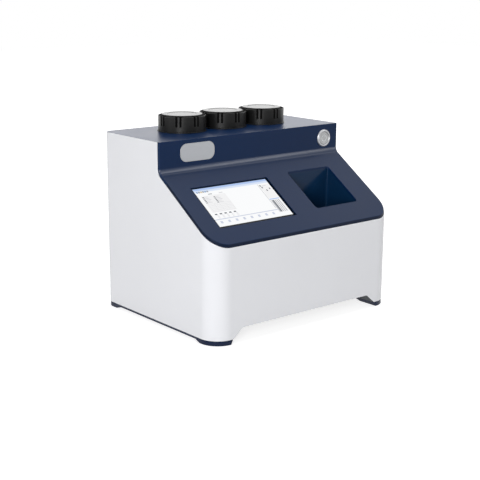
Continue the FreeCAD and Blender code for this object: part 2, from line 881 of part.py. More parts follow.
def screen():
    """Touch glass and display module held under the window by an open frame."""
    keep(screen_plate("touch_glass", d.glass_margin, d.glass_thickness, as_size(0.0)), "touch_glass")
    under = d.glass_thickness + d.seat_gap
    keep(screen_plate("display_module", d.glass_margin, d.module_thickness, under), "display_module")
    stack = under + d.module_thickness + d.seat_gap
    outer = screen_plate("frame_block", d.glass_margin + d.seat_gap + d.frame_wall,
                         stack + d.frame_wall, as_size(0.0))
    inner = screen_plate("frame_space", d.glass_margin + d.seat_gap, stack + d.overrun,
                         -d.overrun)
    window = screen_plate("frame_window", -d.frame_wall * 4, 2 * d.overrun, as_size(0.0))
    return keep(cut("display_frame", outer, [inner, window]), "display_frame")


# --- badge and power button -------------------------------------------------------------------


def badge_plate():
    body = new_body("badge_plate")
    sketch = sketch_on(body, "XZ_Plane")
    half = d.badge_width / 2
    tall = d.badge_height / 2
    draw_outline(sketch, rounded_rectangle(-half, half, -tall, tall,
                                           d.badge_corner, d.badge_corner))
    pad(body, sketch, d.badge_thickness)
    seat(body, p.badge_x, p.face_depth, p.top - d.badge_drop)
    return keep(body, "badge_plate")


def seat_on_face(obj):
    """Seats a turned piece of the button with its axis out of the upright face."""
    return seat(obj, p.button_x, p.face_depth, p.top - d.button_drop, 90.0)


def power_button():
    """Stainless push button: bezel, sprung plunger, nut and contact block."""
    bore = d.plunger_radius + d.guide_clearance
    bezel = turned("button_bezel", [
        (bore, d.bezel_height), (d.bezel_radius - d.bezel_bevel, d.bezel_height),
        (d.bezel_radius, d.bezel_height - d.bezel_bevel), (d.bezel_radius, 0),
        (d.bezel_body_radius, 0), (d.bezel_body_radius, -d.bezel_length),
        (bore, -d.bezel_length)])
    keep(seat_on_face(bezel), "button_bezel")
    plunger = turned("button_plunger", [
        (0, d.plunger_proud), (d.plunger_radius - 0.6, d.plunger_proud),
        (d.plunger_radius, d.plunger_proud - 0.6), (d.plunger_radius, -d.plunger_length),
        (0, -d.plunger_length)])
    keep(seat_on_face(plunger), "button_plunger")
    boss = d.plunger_length + d.button_travel + d.guide_clearance
    switch = turned("button_switch", [
        (0, -boss), (d.plunger_radius, -boss), (d.plunger_radius, -d.bezel_length),
        (d.bezel_body_radius, -d.bezel_length),
        (d.bezel_body_radius, -d.bezel_length - d.switch_length),
        (0, -d.bezel_length - d.switch_length)])
    keep(seat_on_face(switch), "button_switch")
    depth = p.face_depth + d.cover_wall + d.nut_thickness
    height = p.top - d.button_drop
    blank = seat(hexagon("nut_blank", d.nut_flats, d.nut_thickness),
                 p.button_x, depth, height, 90.0)
    hole = seat(cylinder("nut_hole", d.bezel_body_radius + d.seat_gap, d.nut_thickness * 3),
                p.button_x, depth + d.nut_thickness, height, 90.0)
    return keep(cut("button_nut", blank, [hole]), "button_nut")


# --- sample stations --------------------------------------------------------------------------


def cap_outline():
    """Half section of the screw cap: bevelled rim, top recess, web and threaded skirt."""
    bore = d.neck_radius + d.thread_clearance
    washer_room = d.washer_radius + d.guide_clearance
    hole = d.shoulder_radius + d.guide_clearance
    return [
        (hole, p.web_base), (washer_room, p.web_base), (washer_room, p.cap_roof),
        (bore, p.cap_roof), (bore, p.cap_base), (d.cap_radius, p.cap_base),
        (d.cap_radius, p.cap_top - d.cap_bevel_height),
        (d.cap_radius - d.cap_bevel_width, p.cap_top), (d.cap_recess_radius, p.cap_top),
        (d.cap_recess_radius, p.disc_base), (d.head_cavity_radius, p.disc_base),
        (d.head_cavity_radius, p.web_top), (hole, p.web_top)]


def screw_cap(name):
    """Cap with eight pairs of grip slots that run in from its top edge."""
    body = turned(name, cap_outline())
    sketch = sketch_on(body, "XY_Plane", p.cap_top)
    low = d.cap_slot_rib / 2
    high = low + d.cap_slot_width
    inner = d.cap_radius - d.cap_slot_depth
    outer = d.cap_radius + d.overrun
    draw_outline(sketch, rectangle(inner, outer, low, high))
    draw_outline(sketch, rectangle(inner, outer, -high, -low))
    slots = pocket(body, sketch, d.cap_slot_height)
    pattern = body.newObject("PartDesign::PolarPattern", name + "_slots")
    pattern.Originals = [slots]
    pattern.Axis = (origin_feature(body, "Z_Axis"), [""])
    pattern.Angle = 360.0
    bind(pattern, "Occurrences", d.cap_slot_pairs)
    body.Tip = pattern
    return body


def double_d(sketch, radius, flat):
    """A wide frame around two flats, for cutting the sides off a round hub."""
    reach = radius + d.overrun
    draw_outline(sketch, rectangle(-reach, reach, flat, flat + d.overrun))
    draw_outline(sketch, rectangle(-reach, reach, -flat - d.overrun, -flat))


def seal_plug(name):
    """Plug with a groove for its ring, a waist, a crown and a hub with two flats."""
    radius = d.bore_radius - d.guide_clearance
    groove = d.bore_radius - d.ring_fit - 2 * d.ring_section - d.ring_squeeze_room
    base = -d.plug_depth
    disc_top = base + d.plug_disc
    middle = base + d.plug_disc / 2
    room = d.ring_section + d.ring_squeeze_room
    tap = d.screw_thread_radius + d.thread_fit
    bottom = p.hub_top - d.screw_thread_length - d.seat_gap
    crown = d.bore_radius - 2 * d.guide_clearance
    body = turned(name, [
        (0, base), (radius, base), (radius, middle - room), (groove, middle - room),
        (groove, middle + room), (radius, middle + room), (radius, disc_top),
        (d.plug_waist_radius, disc_top), (d.plug_waist_radius, p.shoulder_top - d.plug_crown),
        (crown, p.shoulder_top - d.plug_crown), (crown, p.shoulder_top),
        (d.hub_radius, p.shoulder_top), (d.hub_radius, p.hub_top), (tap, p.hub_top),
        (tap, bottom), (0, bottom)])
    sketch = sketch_on(body, "XY_Plane", p.hub_top)
    double_d(sketch, d.hub_radius, d.hub_flat)
    pocket(body, sketch, p.hub_top - p.shoulder_top)
    return body


def thrust_washer(name):
    """Slip washer under the cap's web, keyed to the flats of the plug's hub."""
    body = new_body(name)
    disc = sketch_on(body, "XY_Plane", p.washer_base)
    draw_circle(disc, as_size(0.0), as_size(0.0), d.washer_radius)
    pad(body, disc, d.washer_thickness)
    bore = sketch_on(body, "XY_Plane", p.washer_base)
    flat = d.hub_flat + d.guide_clearance
    reach = square_root((d.hub_radius + d.guide_clearance) * (d.hub_radius + d.guide_clearance)
                        - flat * flat)
    draw_double_d(bore, d.hub_radius + d.guide_clearance, reach, flat)
    pocket(body, bore, 2 * d.overrun, symmetric=True)
    return body


def draw_double_d(sketch, radius, reach, flat):
    """Draws a round outline with two flats."""
    ends = []
    for sign in (1, -1):
        start = Vector(sign * reach.value, sign * flat.value, 0)
        end = Vector(-sign * reach.value, sign * flat.value, 0)
        line = sketch.addGeometry(Part.LineSegment(start, end))
        turn = math.atan2(end.y, end.x)
        sweep = 2 * math.asin(flat.value / radius.value)
        circle = Part.Circle(Vector(), Vector(0, 0, 1), radius.value)
        arc = sketch.addGeometry(Part.ArcOfCircle(circle, turn, turn + sweep))
        ends.append((line, arc, sign))
    for index, (line, arc, sign) in enumerate(ends):
        next_line = ends[index - 1][0]
        sketch.addConstraint(Sketcher.Constraint("Coincident", line, 2, arc, 1))
        sketch.addConstraint(Sketcher.Constraint("Coincident", arc, 2, next_line, 1))
        sketch.addConstraint(Sketcher.Constraint("Coincident", arc, 3, -1, 1))
        sketch.addConstraint(Sketcher.Constraint("Horizontal", line))
        fix(sketch, "DistanceY", line, 1, sign * flat)
        size = sketch.addConstraint(Sketcher.Constraint("Radius", arc, radius.value))
        bind(sketch, f"Constraints[{size}]", radius)


def cap_screw(name):
    """Shoulder screw that carries the plug and lets the cap turn and rise."""
    shank_base = p.hub_top
    tip = shank_base - d.screw_thread_length
    return turned(name, [
        (0, tip), (d.screw_thread_radius, tip), (d.screw_thread_radius, shank_base),
        (d.shoulder_radius, shank_base), (d.shoulder_radius, p.head_base),
        (d.head_radius, p.head_base), (d.head_radius, p.head_base + d.head_thickness),
        (0, p.head_base + d.head_thickness)])


def seal_ring(name):
    ring = doc.addObject("Part::Torus", name)
    bind(ring, "Radius1", d.bore_radius - d.ring_fit - d.ring_section)
    bind(ring, "Radius2", d.ring_section)
    return ring


def neck_ring(name):
    """Base ring on the cover with the neck that the cap screws onto."""
    lower = d.neck_radius - d.guide_clearance
    return turned(name, [
        (d.bore_radius, -d.neck_reach), (lower, -d.neck_reach), (lower, 0),
        (d.neck_flange_radius, 0), (d.neck_flange_radius, d.neck_flange_height),
        (d.neck_radius, d.neck_flange_height), (d.neck_radius, p.neck_top - 1),
        (d.neck_radius - 1, p.neck_top), (d.bore_radius, p.neck_top)])


def chamber(name):
    """Steel sample chamber that hangs in the thermal block by its flange."""
    base = p.chamber_top - d.chamber_length
    return turned(name, [
        (0, base), (p.chamber_radius, base), (p.chamber_radius, p.chamber_top - d.chamber_flange),
        (d.chamber_flange_radius, p.chamber_top - d.chamber_flange),
        (d.chamber_flange_radius, p.chamber_top), (d.bore_radius, p.chamber_top),
        (d.bore_radius, base + d.chamber_floor), (0, base + d.chamber_floor)])


def sample_cup(name):
    """Thin cup that stands on the chamber's floor."""
    base = p.chamber_top - d.chamber_length + d.chamber_floor + d.seat_gap
    top = base + d.cup_height
    inner = d.cup_radius - d.cup_wall
    return turned(name, [
        (0, base), (d.cup_radius, base), (d.cup_radius, top), (inner, top),
        (inner, base + d.cup_wall), (0, base + d.cup_wall)])


def cap_disc(name):
    """Cover disc in the recess of the cap's top."""
    disc = cylinder(name, d.cap_recess_radius - d.seat_gap, d.cap_disc_thickness)
    return disc


def station(side, index):
    """One sample station with everything from its cap down to the cup."""
    x = station_x(index)
    at_top = {
        "cap": screw_cap, "thrust_washer": thrust_washer, "cap_screw": cap_screw,
        "seal_plug": seal_plug, "neck_ring": neck_ring, "chamber": chamber,
        "sample_cup": sample_cup}
    for piece, build in at_top.items():
        name = f"{side}_{piece}"
        keep(seat(build(name), x, p.station_depth, p.top), name)
    disc = cap_disc(f"{side}_cap_disc")
    keep(seat(disc, x, p.station_depth, p.top + p.disc_base), f"{side}_cap_disc")
    ring = seal_ring(f"{side}_seal_ring")
    height = p.top - d.plug_depth + d.plug_disc / 2
    keep(seat(ring, x, p.station_depth, height), f"{side}_seal_ring")


# --- thermal block and gas circuit ------------------------------------------------------------


def chamber_block():
    """Aluminium block with a bore for each chamber."""
    front = p.station_depth - p.block_half_depth
    blank = centred_box("block_blank", d.station_x, front, p.block_base,
                        2 * p.block_half_width, 2 * p.block_half_depth, d.block_height)
    bores = []
    for index in (-1, 0, 1):
        bore = cylinder("block_bore", p.chamber_radius + d.bore_fit,
                        d.block_height + 2 * d.overrun)
        bores.append(seat(bore, station_x(index), p.station_depth, p.block_base - d.overrun))
    return keep(cut("chamber_block", blank, bores), "chamber_block")


def block_frame():
    """Folded frame: a floor on the pan, two upright sides and shelves under the block."""
    wall = d.frame_thickness
    inner = p.frame_half
    outer = inner + wall
    shelf = p.block_half_width
    base = p.pan_floor
    top = p.block_base
    body = new_body("block_frame")
    sketch = sketch_on(body, "XZ_Plane")
    draw_outline(sketch, [
        (-outer, base), (outer, base), (outer, top - wall), (shelf, top - wall), (shelf, top),
        (inner, top), (inner, base + wall), (-inner, base + wall), (-inner, top), (-shelf, top),
        (-shelf, top - wall), (-outer, top - wall)])
    pad(body, sketch, d.frame_depth, symmetric=True)
    seat(body, d.station_x, p.station_depth, 0)
    return keep(body, "block_frame")


def gas_manifold():
    """Drilled bar that joins the chambers, between the sides of the frame."""
    width = 2 * p.frame_half - 2 * d.seat_gap
    blank = centred_box("gas_manifold", d.station_x, p.station_depth - d.manifold_depth / 2,
                        p.manifold_base, width, d.manifold_depth, d.manifold_height)
    return keep(blank, "gas_manifold")


def valve(name, x, sign):
    """Solenoid valve bolted to the front or the rear of the manifold."""
    face = p.station_depth + sign * d.manifold_depth / 2
    z = (p.manifold_base + p.manifold_top) / 2
    run = d.valve_base_depth
    front = face if sign > 0 else face - run
    base = centred_box(name + "_base", x, front, z - d.valve_base / 2, d.valve_base, run, d.valve_base)
    coil = cylinder(name + "_coil", d.valve_coil_radius, d.valve_coil_length)
    seat(coil, x, face + sign * run, z, -90.0 * sign)
    return fuse(name, [base, coil])


def valves():
    """Three chamber valves in front of the manifold, three gas valves behind it."""
    row = []
    for index in (-1, 0, 1):
        row.append(valve("chamber_valve", station_x(index), -1))
        row.append(valve("gas_valve", station_x(index), 1))
    return keep(group("solenoid_valves", row), "solenoid_valves")


def reference_chamber():
    base = p.pan_floor + d.reference_clearance
    body = cylinder("reference_chamber", d.reference_radius, p.manifold_base - base)
    seat(body, d.station_x, p.station_depth, base)
    return keep(body, "reference_chamber")


def pressure_sensor():
    """Pressure transducer screwed into the top of the manifold."""
    x = station_x(-1) + d.sensor_offset
    nut = seat(hexagon("sensor_hex", d.sensor_radius * 2, d.sensor_height / 3),
               x, p.station_depth, p.manifold_top)
    can = seat(cylinder("sensor_can", d.sensor_radius * 0.9, d.sensor_height),
               x, p.station_depth, p.manifold_top)
    return keep(fuse("pressure_sensor", [nut, can]), "pressure_sensor")


def chamber_tubes():
    """Steel tubes from the floor of each chamber to the manifold."""
    tubes = []
    for index in (-1, 0, 1):
        tube = cylinder("chamber_tube", d.tube_radius, d.manifold_drop)
        tubes.append(seat(tube, station_x(index), p.station_depth, p.manifold_top))
    return keep(group("chamber_tubes", tubes), "chamber_tubes")


def fitting_x(side):
    """The fittings stand between the stations, in line with their tubes."""
    return d.station_x + side * d.station_pitch / 2


def gas_fitting(name, side):
    """Bulkhead fitting for a gas hose: release ring, hexagon, thread and nut."""
    x = fitting_x(side)
    z = p.fitting_z
    reach = d.fitting_reach + d.sheet_thickness
    turning = turned(name + "_turning", [
        (0, -d.fitting_thread_length), (d.fitting_thread_radius, -d.fitting_thread_length),
        (d.fitting_thread_radius, 0), (d.fitting_radius, 0), (d.fitting_radius, reach - 2),
        (d.fitting_radius - 1.2, reach - 1.4), (d.fitting_radius - 1.2, reach),
        (d.fitting_bore, reach), (d.fitting_bore, reach - d.fitting_bore_depth),
        (0, reach - d.fitting_bore_depth)])
    seat(turning, x, p.panel_face, z, -90.0)
    flange = seat(hexagon(name + "_hex", d.fitting_flats, d.fitting_hex),
                  x, p.panel_face, z, -90.0)
    nut = seat(hexagon(name + "_nut", d.fitting_flats, d.fitting_hex),
               x, p.panel_face - d.sheet_thickness - d.fitting_hex, z, -90.0)
    solid = fuse(name + "_solid", [turning, flange, nut])
    bore = seat(cylinder(name + "_bore", d.fitting_bore, d.fitting_bore_depth + 1),
                x, p.panel_face + reach - d.fitting_bore_depth, z, -90.0)
    return keep(cut(name, solid, [bore]), name)


def elbow_tube(name, side):
    """Tube from a rear fitting forward, round one bend and down into the manifold."""
    x = fitting_x(side)
    high = p.fitting_z
    start = p.panel_face - d.fitting_thread_length
    bend = d.tube_bend
    drop = cylinder(name + "_drop", d.tube_radius, high - bend - p.manifold_top)
    seat(drop, x, p.station_depth, p.manifold_top)
    run = cylinder(name + "_run", d.tube_radius, start - p.station_depth - bend)
    seat(run, x, p.station_depth + bend, high, -90.0)
    elbow = doc.addObject("Part::Torus", name + "_elbow")
    bind(elbow, "Radius1", bend)
    bind(elbow, "Radius2", d.tube_radius)
    elbow.Angle3 = 90.0
    seat(elbow, x, p.station_depth + bend, high - bend)
    turn = Rotation(Vector(1, 0, 0), 180) * Rotation(Vector(0, 1, 0), 90)
    bind(elbow, "Placement.Rotation.Angle", math.degrees(turn.Angle))
    elbow.Placement.Rotation = turn
    return fuse(name, [drop, elbow, run])


# --- mains side and electronics ---------------------------------------------------------------


def inlet_box(name, x_shift, z_shift, width, tall, near, run):
    """A box of the mains inlet: near and run are measured back from the panel's outer face."""
    return centred_box(name, p.inlet_x + x_shift, p.panel_face + near,
                       d.foot_height + d.inlet_height + z_shift - tall / 2, width, run, tall)


def mains_inlet():
    """Mains inlet with its socket, three pins and the opening of its switch."""
    rim = d.sheet_thickness
    still = as_size(0.0)
    flange = inlet_box("inlet_flange", still, still, d.inlet_width + 2 * d.inlet_rim,
                       d.inlet_tall + 2 * d.inlet_rim, still, rim)
    core = inlet_box("inlet_core", still, still, d.inlet_width, d.inlet_tall,
                     -d.inlet_body_depth, d.inlet_body_depth)
    socket = inlet_box("inlet_socket", still, -d.socket_drop, d.socket_width, d.socket_tall,
                       rim - d.socket_depth, d.socket_depth + d.overrun)
    slot_depth = d.rocker_pivot_depth + d.rocker_half + d.guide_clearance * 4
    slot = inlet_box("inlet_rocker_slot", still, d.rocker_lift,
                     d.rocker_width + 2 * d.guide_clearance, 2 * d.rocker_slot_half,
                     rim - slot_depth, slot_depth + d.overrun)
    shell = cut("inlet_shell", fuse("inlet_solid", [flange, core]), [socket, slot])
    pins = []
    for shift, lift in ((-1, -1), (1, -1), (0, 1)):
        pins.append(inlet_box("inlet_pin", shift * d.pin_spacing,
                              lift * d.pin_tall * 0.7 - d.socket_drop,
                              d.pin_width, d.pin_tall, rim - d.socket_depth, d.pin_length))
    return keep(fuse("mains_inlet", [shell] + pins), "mains_inlet")


def mains_rocker():
    """Rocker with a hollow face, tilted to its off position about its cross pin."""
    body = new_body("mains_rocker")
    sketch = sketch_on(body, "YZ_Plane")
    half = d.rocker_half
    face = d.rocker_face
    draw_outline(sketch, [
        (face, -half), (face, half), (0, half), (-half * 0.8, 0), (0, -half)])
    pad(body, sketch, d.rocker_width, symmetric=True)
    hollow = sketch_on(body, "YZ_Plane")
    draw_outline(hollow, [
        (face + 0.5, -half + 0.6), (face + 0.5, half - 0.6), (face - d.rocker_valley, 0)])
    pocket(body, hollow, d.rocker_width * 2, symmetric=True)
    depth = p.panel_face + d.sheet_thickness - d.rocker_pivot_depth
    seat(body, p.inlet_x, depth, d.foot_height + d.inlet_height + d.rocker_lift, 1.0)
    bind(body, "Placement.Rotation.Angle", d.rocker_tilt)
    return keep(body, "mains_rocker")


def power_supply():
    """Enclosed power supply on the pan under the screen."""
    return keep(centred_box("power_supply", p.supply_x, d.electronics_depth, p.pan_floor,
                            d.supply_width, d.supply_depth, d.supply_height), "power_supply")


def controller_board():
    """Controller board on four standoffs under the well."""
    height = p.pan_floor + d.standoff_height
    keep(centred_box("controller_board", p.board_x, d.electronics_depth, height,
                     d.board_width, d.board_depth, d.board_thickness), "controller_board")
    standoffs = []
    for x in (-1, 1):
        for depth in (d.standoff_inset, d.board_depth - d.standoff_inset):
            post = cylinder("board_standoff", d.standoff_radius, d.standoff_height)
            shift = x * (d.board_width / 2 - d.standoff_inset)
            standoffs.append(seat(post, p.board_x + shift, d.electronics_depth + depth, p.pan_floor))
    return keep(group("board_standoffs", standoffs), "board_standoffs")


def build_all():
    outer_shell()
    top_cover()
    well_tray()
    base_pan()
    foot_rail("left", -1)
    foot_rail("right", 1)
    foot_pads()
    rear_panel()
    panel_screws()
    screen()
    badge_plate()
    power_button()
    for side, index in (("left", -1), ("middle", 0), ("right", 1)):
        station(side, index)
    chamber_block()
    block_frame()
    gas_manifold()
    valves()
    reference_chamber()
    pressure_sensor()
    chamber_tubes()
    gas_fitting("gas_inlet_fitting", -1)
    gas_fitting("gas_vent_fitting", 1)
    tubes = [elbow_tube("supply_tube", -1), elbow_tube("vent_tube", 1)]
    keep(group("gas_tubes", tubes), "gas_tubes")
    mains_inlet()
    mains_rocker()
    power_supply()
    controller_board()


def check_document():
    for obj in doc.Objects:
        if "Invalid" in obj.State or "Error" in obj.State:
            raise RuntimeError(f"{obj.Name} failed: {obj.State}")
    for obj in nodes:
        if obj.Shape.isNull() or not obj.Shape.isValid() or not obj.Shape.Solids:
            raise RuntimeError(f"{obj.Label} has no valid solid")


def write_parts():
    os.makedirs("parts", exist_ok=True)
    for obj in nodes:
        obj.Shape.exportStep(f"parts/{obj.Label}.step")
    print(len(nodes), "nodes written")


build_all()
doc.recompute()
check_document()
write_parts()
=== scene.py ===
import json
import math

import bmesh
import bpy
from mathutils import Matrix, Vector
from mathutils.geometry import tessellate_polygon

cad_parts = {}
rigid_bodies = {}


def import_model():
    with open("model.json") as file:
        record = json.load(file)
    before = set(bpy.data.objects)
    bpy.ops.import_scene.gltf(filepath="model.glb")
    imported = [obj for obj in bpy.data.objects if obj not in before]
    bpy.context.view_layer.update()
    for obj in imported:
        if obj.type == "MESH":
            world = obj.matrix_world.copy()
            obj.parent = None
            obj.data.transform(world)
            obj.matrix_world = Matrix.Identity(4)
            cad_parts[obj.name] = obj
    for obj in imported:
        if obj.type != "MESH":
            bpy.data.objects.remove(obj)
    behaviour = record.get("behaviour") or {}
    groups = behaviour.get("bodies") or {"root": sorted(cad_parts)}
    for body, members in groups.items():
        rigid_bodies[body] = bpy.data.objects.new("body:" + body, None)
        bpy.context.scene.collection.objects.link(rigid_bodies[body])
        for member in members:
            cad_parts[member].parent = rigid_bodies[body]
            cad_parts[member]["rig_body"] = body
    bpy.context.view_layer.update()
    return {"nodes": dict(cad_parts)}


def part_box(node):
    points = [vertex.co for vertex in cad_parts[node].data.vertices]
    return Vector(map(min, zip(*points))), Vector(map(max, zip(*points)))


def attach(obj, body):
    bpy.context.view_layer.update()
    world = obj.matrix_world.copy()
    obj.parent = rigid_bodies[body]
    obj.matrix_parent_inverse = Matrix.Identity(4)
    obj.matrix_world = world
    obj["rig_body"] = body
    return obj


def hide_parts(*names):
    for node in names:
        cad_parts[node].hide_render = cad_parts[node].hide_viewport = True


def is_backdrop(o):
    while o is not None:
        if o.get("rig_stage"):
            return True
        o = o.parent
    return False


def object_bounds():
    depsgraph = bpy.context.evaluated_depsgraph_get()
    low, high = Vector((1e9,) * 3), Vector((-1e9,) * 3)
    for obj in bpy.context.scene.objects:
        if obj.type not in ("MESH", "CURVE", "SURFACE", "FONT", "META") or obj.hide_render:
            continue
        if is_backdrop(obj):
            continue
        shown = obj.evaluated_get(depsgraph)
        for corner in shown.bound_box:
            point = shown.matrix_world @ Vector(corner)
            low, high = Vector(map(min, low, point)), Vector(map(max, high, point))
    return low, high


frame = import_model()
nodes = frame["nodes"]
MM = 0.001


def cad_box(node_name):
    """Lowest and highest corner of a CAD node at rest, in millimetres."""
    return [Vector(corner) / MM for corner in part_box(node_name)]


def drawn_box(node_name):
    """Left, right, front, rear, low and high side of a CAD node at rest, to the tenth of a
    millimetre that it is drawn in and so without the facets of its round faces."""
    return [round(side, 1) for pair in zip(*cad_box(node_name)) for side in pair]


# Sizes that the CAD model gives, in millimetres. A depth is measured back from the front plane.
HALF_WIDTH, FRONT_PLANE, REAR_PLANE, FOOT_HEIGHT, TOP = drawn_box("outer_shell")[1:]
BODY_DEPTH = REAR_PLANE - FRONT_PLANE
STATIONS = [sum(drawn_box(f"{side}_cap")[:2]) / 2 for side in ("left", "middle", "right")]
left, right, front, rear, low, CAP_HIGH = drawn_box("left_cap")
STATION_DEPTH = (front + rear) / 2 - FRONT_PLANE
CAP_RADIUS = (right - left) / 2
left, right, front, rear, low, high = drawn_box("button_bezel")
BUTTON = ((left + right) / 2, (low + high) / 2)

# Sizes of the casing's finer fit, in millimetres: first the white shell.
SHEET = 1.2
SHELL_EDGE = 0.5
FRONT_CORNER = 32.0
REAR_CORNER = 18.0
REAR_RETURN = 30.0
SKIRT_HEIGHT = 22.8
LEG_INNER = 148.5
LEG_SLANT = 17.5
LEG_FILLET = 7.0

# The slanted panel rises from its foot at the front to a bend below the upright face.
FACE_SETBACK = 136.4
BEND_HEIGHT = 237.7
SLOPE_FOOT = 146.4
BEND_RADIUS = 16.9

# The navy cover: inside the shell's outline, proud of its slope, with a rounded rim.
COVER_INSET = 1.25
COVER_PROUD = 4.0
COVER_WALL = 3.0
COVER_FLANGE = 12.0
COVER_EDGE = 1.4
COVER_CREST = 0.6
INNER_CREST = 0.3
TOP_EDGE_SHARE = 0.2

# Openings: the window's left, right, low and high edge along the slope, the well's left, right,
# front and rear edge.
WINDOW = (-150.9, -0.9, 36.95, 123.45)
WINDOW_CORNER = 0.8
WINDOW_EDGE = 0.4
WELL = (45.4, 136.4, 33.8, 104.1)
WELL_CORNER = 5.0
WELL_EDGE = 0.7
BUTTON_HOLE = 12.5
NECK_RADIUS = 30.0

# Steps of the roundings.
CORNER_STEPS = 16
BEND_STEPS = 8
CREST_STEPS = 4
RIM_STEPS = 5
HOLE_RIM_STEPS = 3

SLOPE_TANGENT = (BEND_HEIGHT - SLOPE_FOOT) / FACE_SETBACK
SLOPE_ANGLE = math.atan(SLOPE_TANGENT)
SLOPE_COS = math.cos(SLOPE_ANGLE)
SLOPE_SIN = math.sin(SLOPE_ANGLE)
SLOPE_NORMAL = Vector((0.0, -SLOPE_SIN, SLOPE_COS))
UP = Vector((0.0, 0.0, 1.0))
FRONT = Vector((0.0, -1.0, 0.0))


# --- shader maths -----------------------------------------------------------------------------


class Field:
    """What a node gives, so that maths on it reads as Python."""

    def __init__(self, graph, socket):
        self.graph = graph
        self.socket = socket

    def combined(self, operation, first, second):
        settings = {"operation": operation}
        return self.graph.node("ShaderNodeMath", settings, {0: first, 1: second})

    def __add__(self, other):
        return self.combined("ADD", self, other)

    def __sub__(self, other):
        return self.combined("SUBTRACT", self, other)

    def __mul__(self, other):
        return self.combined("MULTIPLY", self, other)

    def __truediv__(self, other):
        return self.combined("DIVIDE", self, other)

    def __rsub__(self, other):
        return self.combined("SUBTRACT", other, self)

    def __lt__(self, other):
        return self.combined("LESS_THAN", self, other)

    def __gt__(self, other):
        return self.combined("GREATER_THAN", self, other)

    __radd__ = __add__
    __rmul__ = __mul__


class Graph:
    """A node tree that is built by calls."""

    family = "ShaderNode"

    def node(self, kind, settings=None, inputs=None, output=0):
        """Adds a node, sets it up first, then gives its sockets values or links."""
        made = self.tree.nodes.new(kind if "Node" in kind else self.family + kind)
        for key, value in (settings or {}).items():
            setattr(made, key, value)
        for key, value in (inputs or {}).items():
            for one in value if isinstance(value, list) else [value]:
                if isinstance(one, Field):
                    self.tree.links.new(one.socket, made.inputs[key])
                else:
                    made.inputs[key].default_value = one
        return None if output is None else Field(self, made.outputs[output])


class Finish(Graph):
    """A material for one finish of the instrument."""

    def __init__(self, name):
        self.material = bpy.data.materials.new(name)
        self.plan(self.material)
        self.place = self.node("TexCoord", output="Object")

    def plan(self, owner):
        """Starts the owner's empty node tree."""
        owner.use_nodes = True
        self.tree = owner.node_tree
        self.tree.nodes.clear()

    def noise(self, size, detail=2.0, stretch=None):
        """Noise whose grains are about a size in millimetres, drawn out along an axis if asked."""
        place = self.place
        if stretch:
            place = self.node("Mapping", None, {"Vector": place, "Scale": stretch})
        inputs = {"Vector": place, "Scale": 1.0 / (size * MM), "Detail": detail}
        return self.node("TexNoise", None, inputs)

    def part_of_place(self, axis):
        """One coordinate of the place on the piece, in metres."""
        return self.node("SeparateXYZ", None, {"Vector": self.place}, axis)

    def blend(self, first, second, share):
        """Mixes two colours, or two fields of colour, by a field."""
        return self.node("Mix", {"data_type": "RGBA"}, {0: share, 6: first, 7: second}, 2)

    def tint(self, colour, other, share):
        """Mixes two plain colours by a field."""
        return self.blend((*colour, 1.0), (*other, 1.0), share)

    def uneven(self, colour, dark, light, share):
        """One plain colour that varies between a darker and a lighter shade by a field."""
        return self.tint(scaled(colour, dark), scaled(colour, light), share)

    def relief(self, height, depth, strength=1.0):
        """A fine relief, its depth in millimetres."""
        inputs = {"Strength": strength, "Distance": depth * MM, "Height": height}
        return self.node("Bump", None, inputs, "Normal")

    def surface(self, **sockets):
        """Gives the finished material, its sockets named with underscores for blanks."""
        inputs = {}
        for key, value in sockets.items():
            plain_colour = isinstance(value, tuple) and len(value) == 3
            inputs[key.replace("_", " ")] = (*value, 1.0) if plain_colour else value
        return self.finished(self.node("BsdfPrincipled", None, inputs))

    def finished(self, shader):
        """Ends the tree in a shader."""
        self.node("OutputMaterial", None, {"Surface": shader}, None)
        return self.material

    def seen_directly(self):
        """One where the camera, a mirror or a glass sees a surface, zero where it only lights."""
        rays = [self.node("LightPath", output=f"Is {kind} Ray")
                for kind in ("Camera", "Glossy", "Transmission")]
        return rays[0].combined("MAXIMUM", rays[0].combined("MAXIMUM", *rays[:2]), rays[2])


def plain(colour):
    """Linear values of a colour written as it shows, from 0 to 255."""
    values = []
    for part in colour:
        part = part / 255.0
        values.append(part / 12.92 if part <= 0.04045 else ((part + 0.055) / 1.055) ** 2.4)
    return tuple(values)


def scaled(colour, factor):
    """A linear colour made darker or lighter."""
    return tuple(part * factor for part in colour)


def powder_coat(name, shown):
    """Powder coat on sheet steel: faint orange peel and slight unevenness."""
    finish = Finish(name)
    colour = plain(shown)
    cloud = finish.noise(60.0)
    peel = finish.noise(1.3, 1.0)
    return finish.surface(
        Base_Color=finish.uneven(colour, 0.985, 1.015, cloud),
        Roughness=0.1 + 0.04 * cloud, Normal=finish.relief(peel, 0.03, 0.2), IOR=1.55)


# Painted shade on the cover's lip: how far its colour is darkened, and where the darkening changes,
# in millimetres.
LIP_PAINTED_SHADE = 0.42
LIP_DROP = 0.15
LIP_END = 115.0
WELL_MARGIN = 1.5
GLOSSY_BEND = (236.5, 246.2)
GLOSSY_RUN = (125.0, FACE_SETBACK)
TOP_SKIN = 0.4


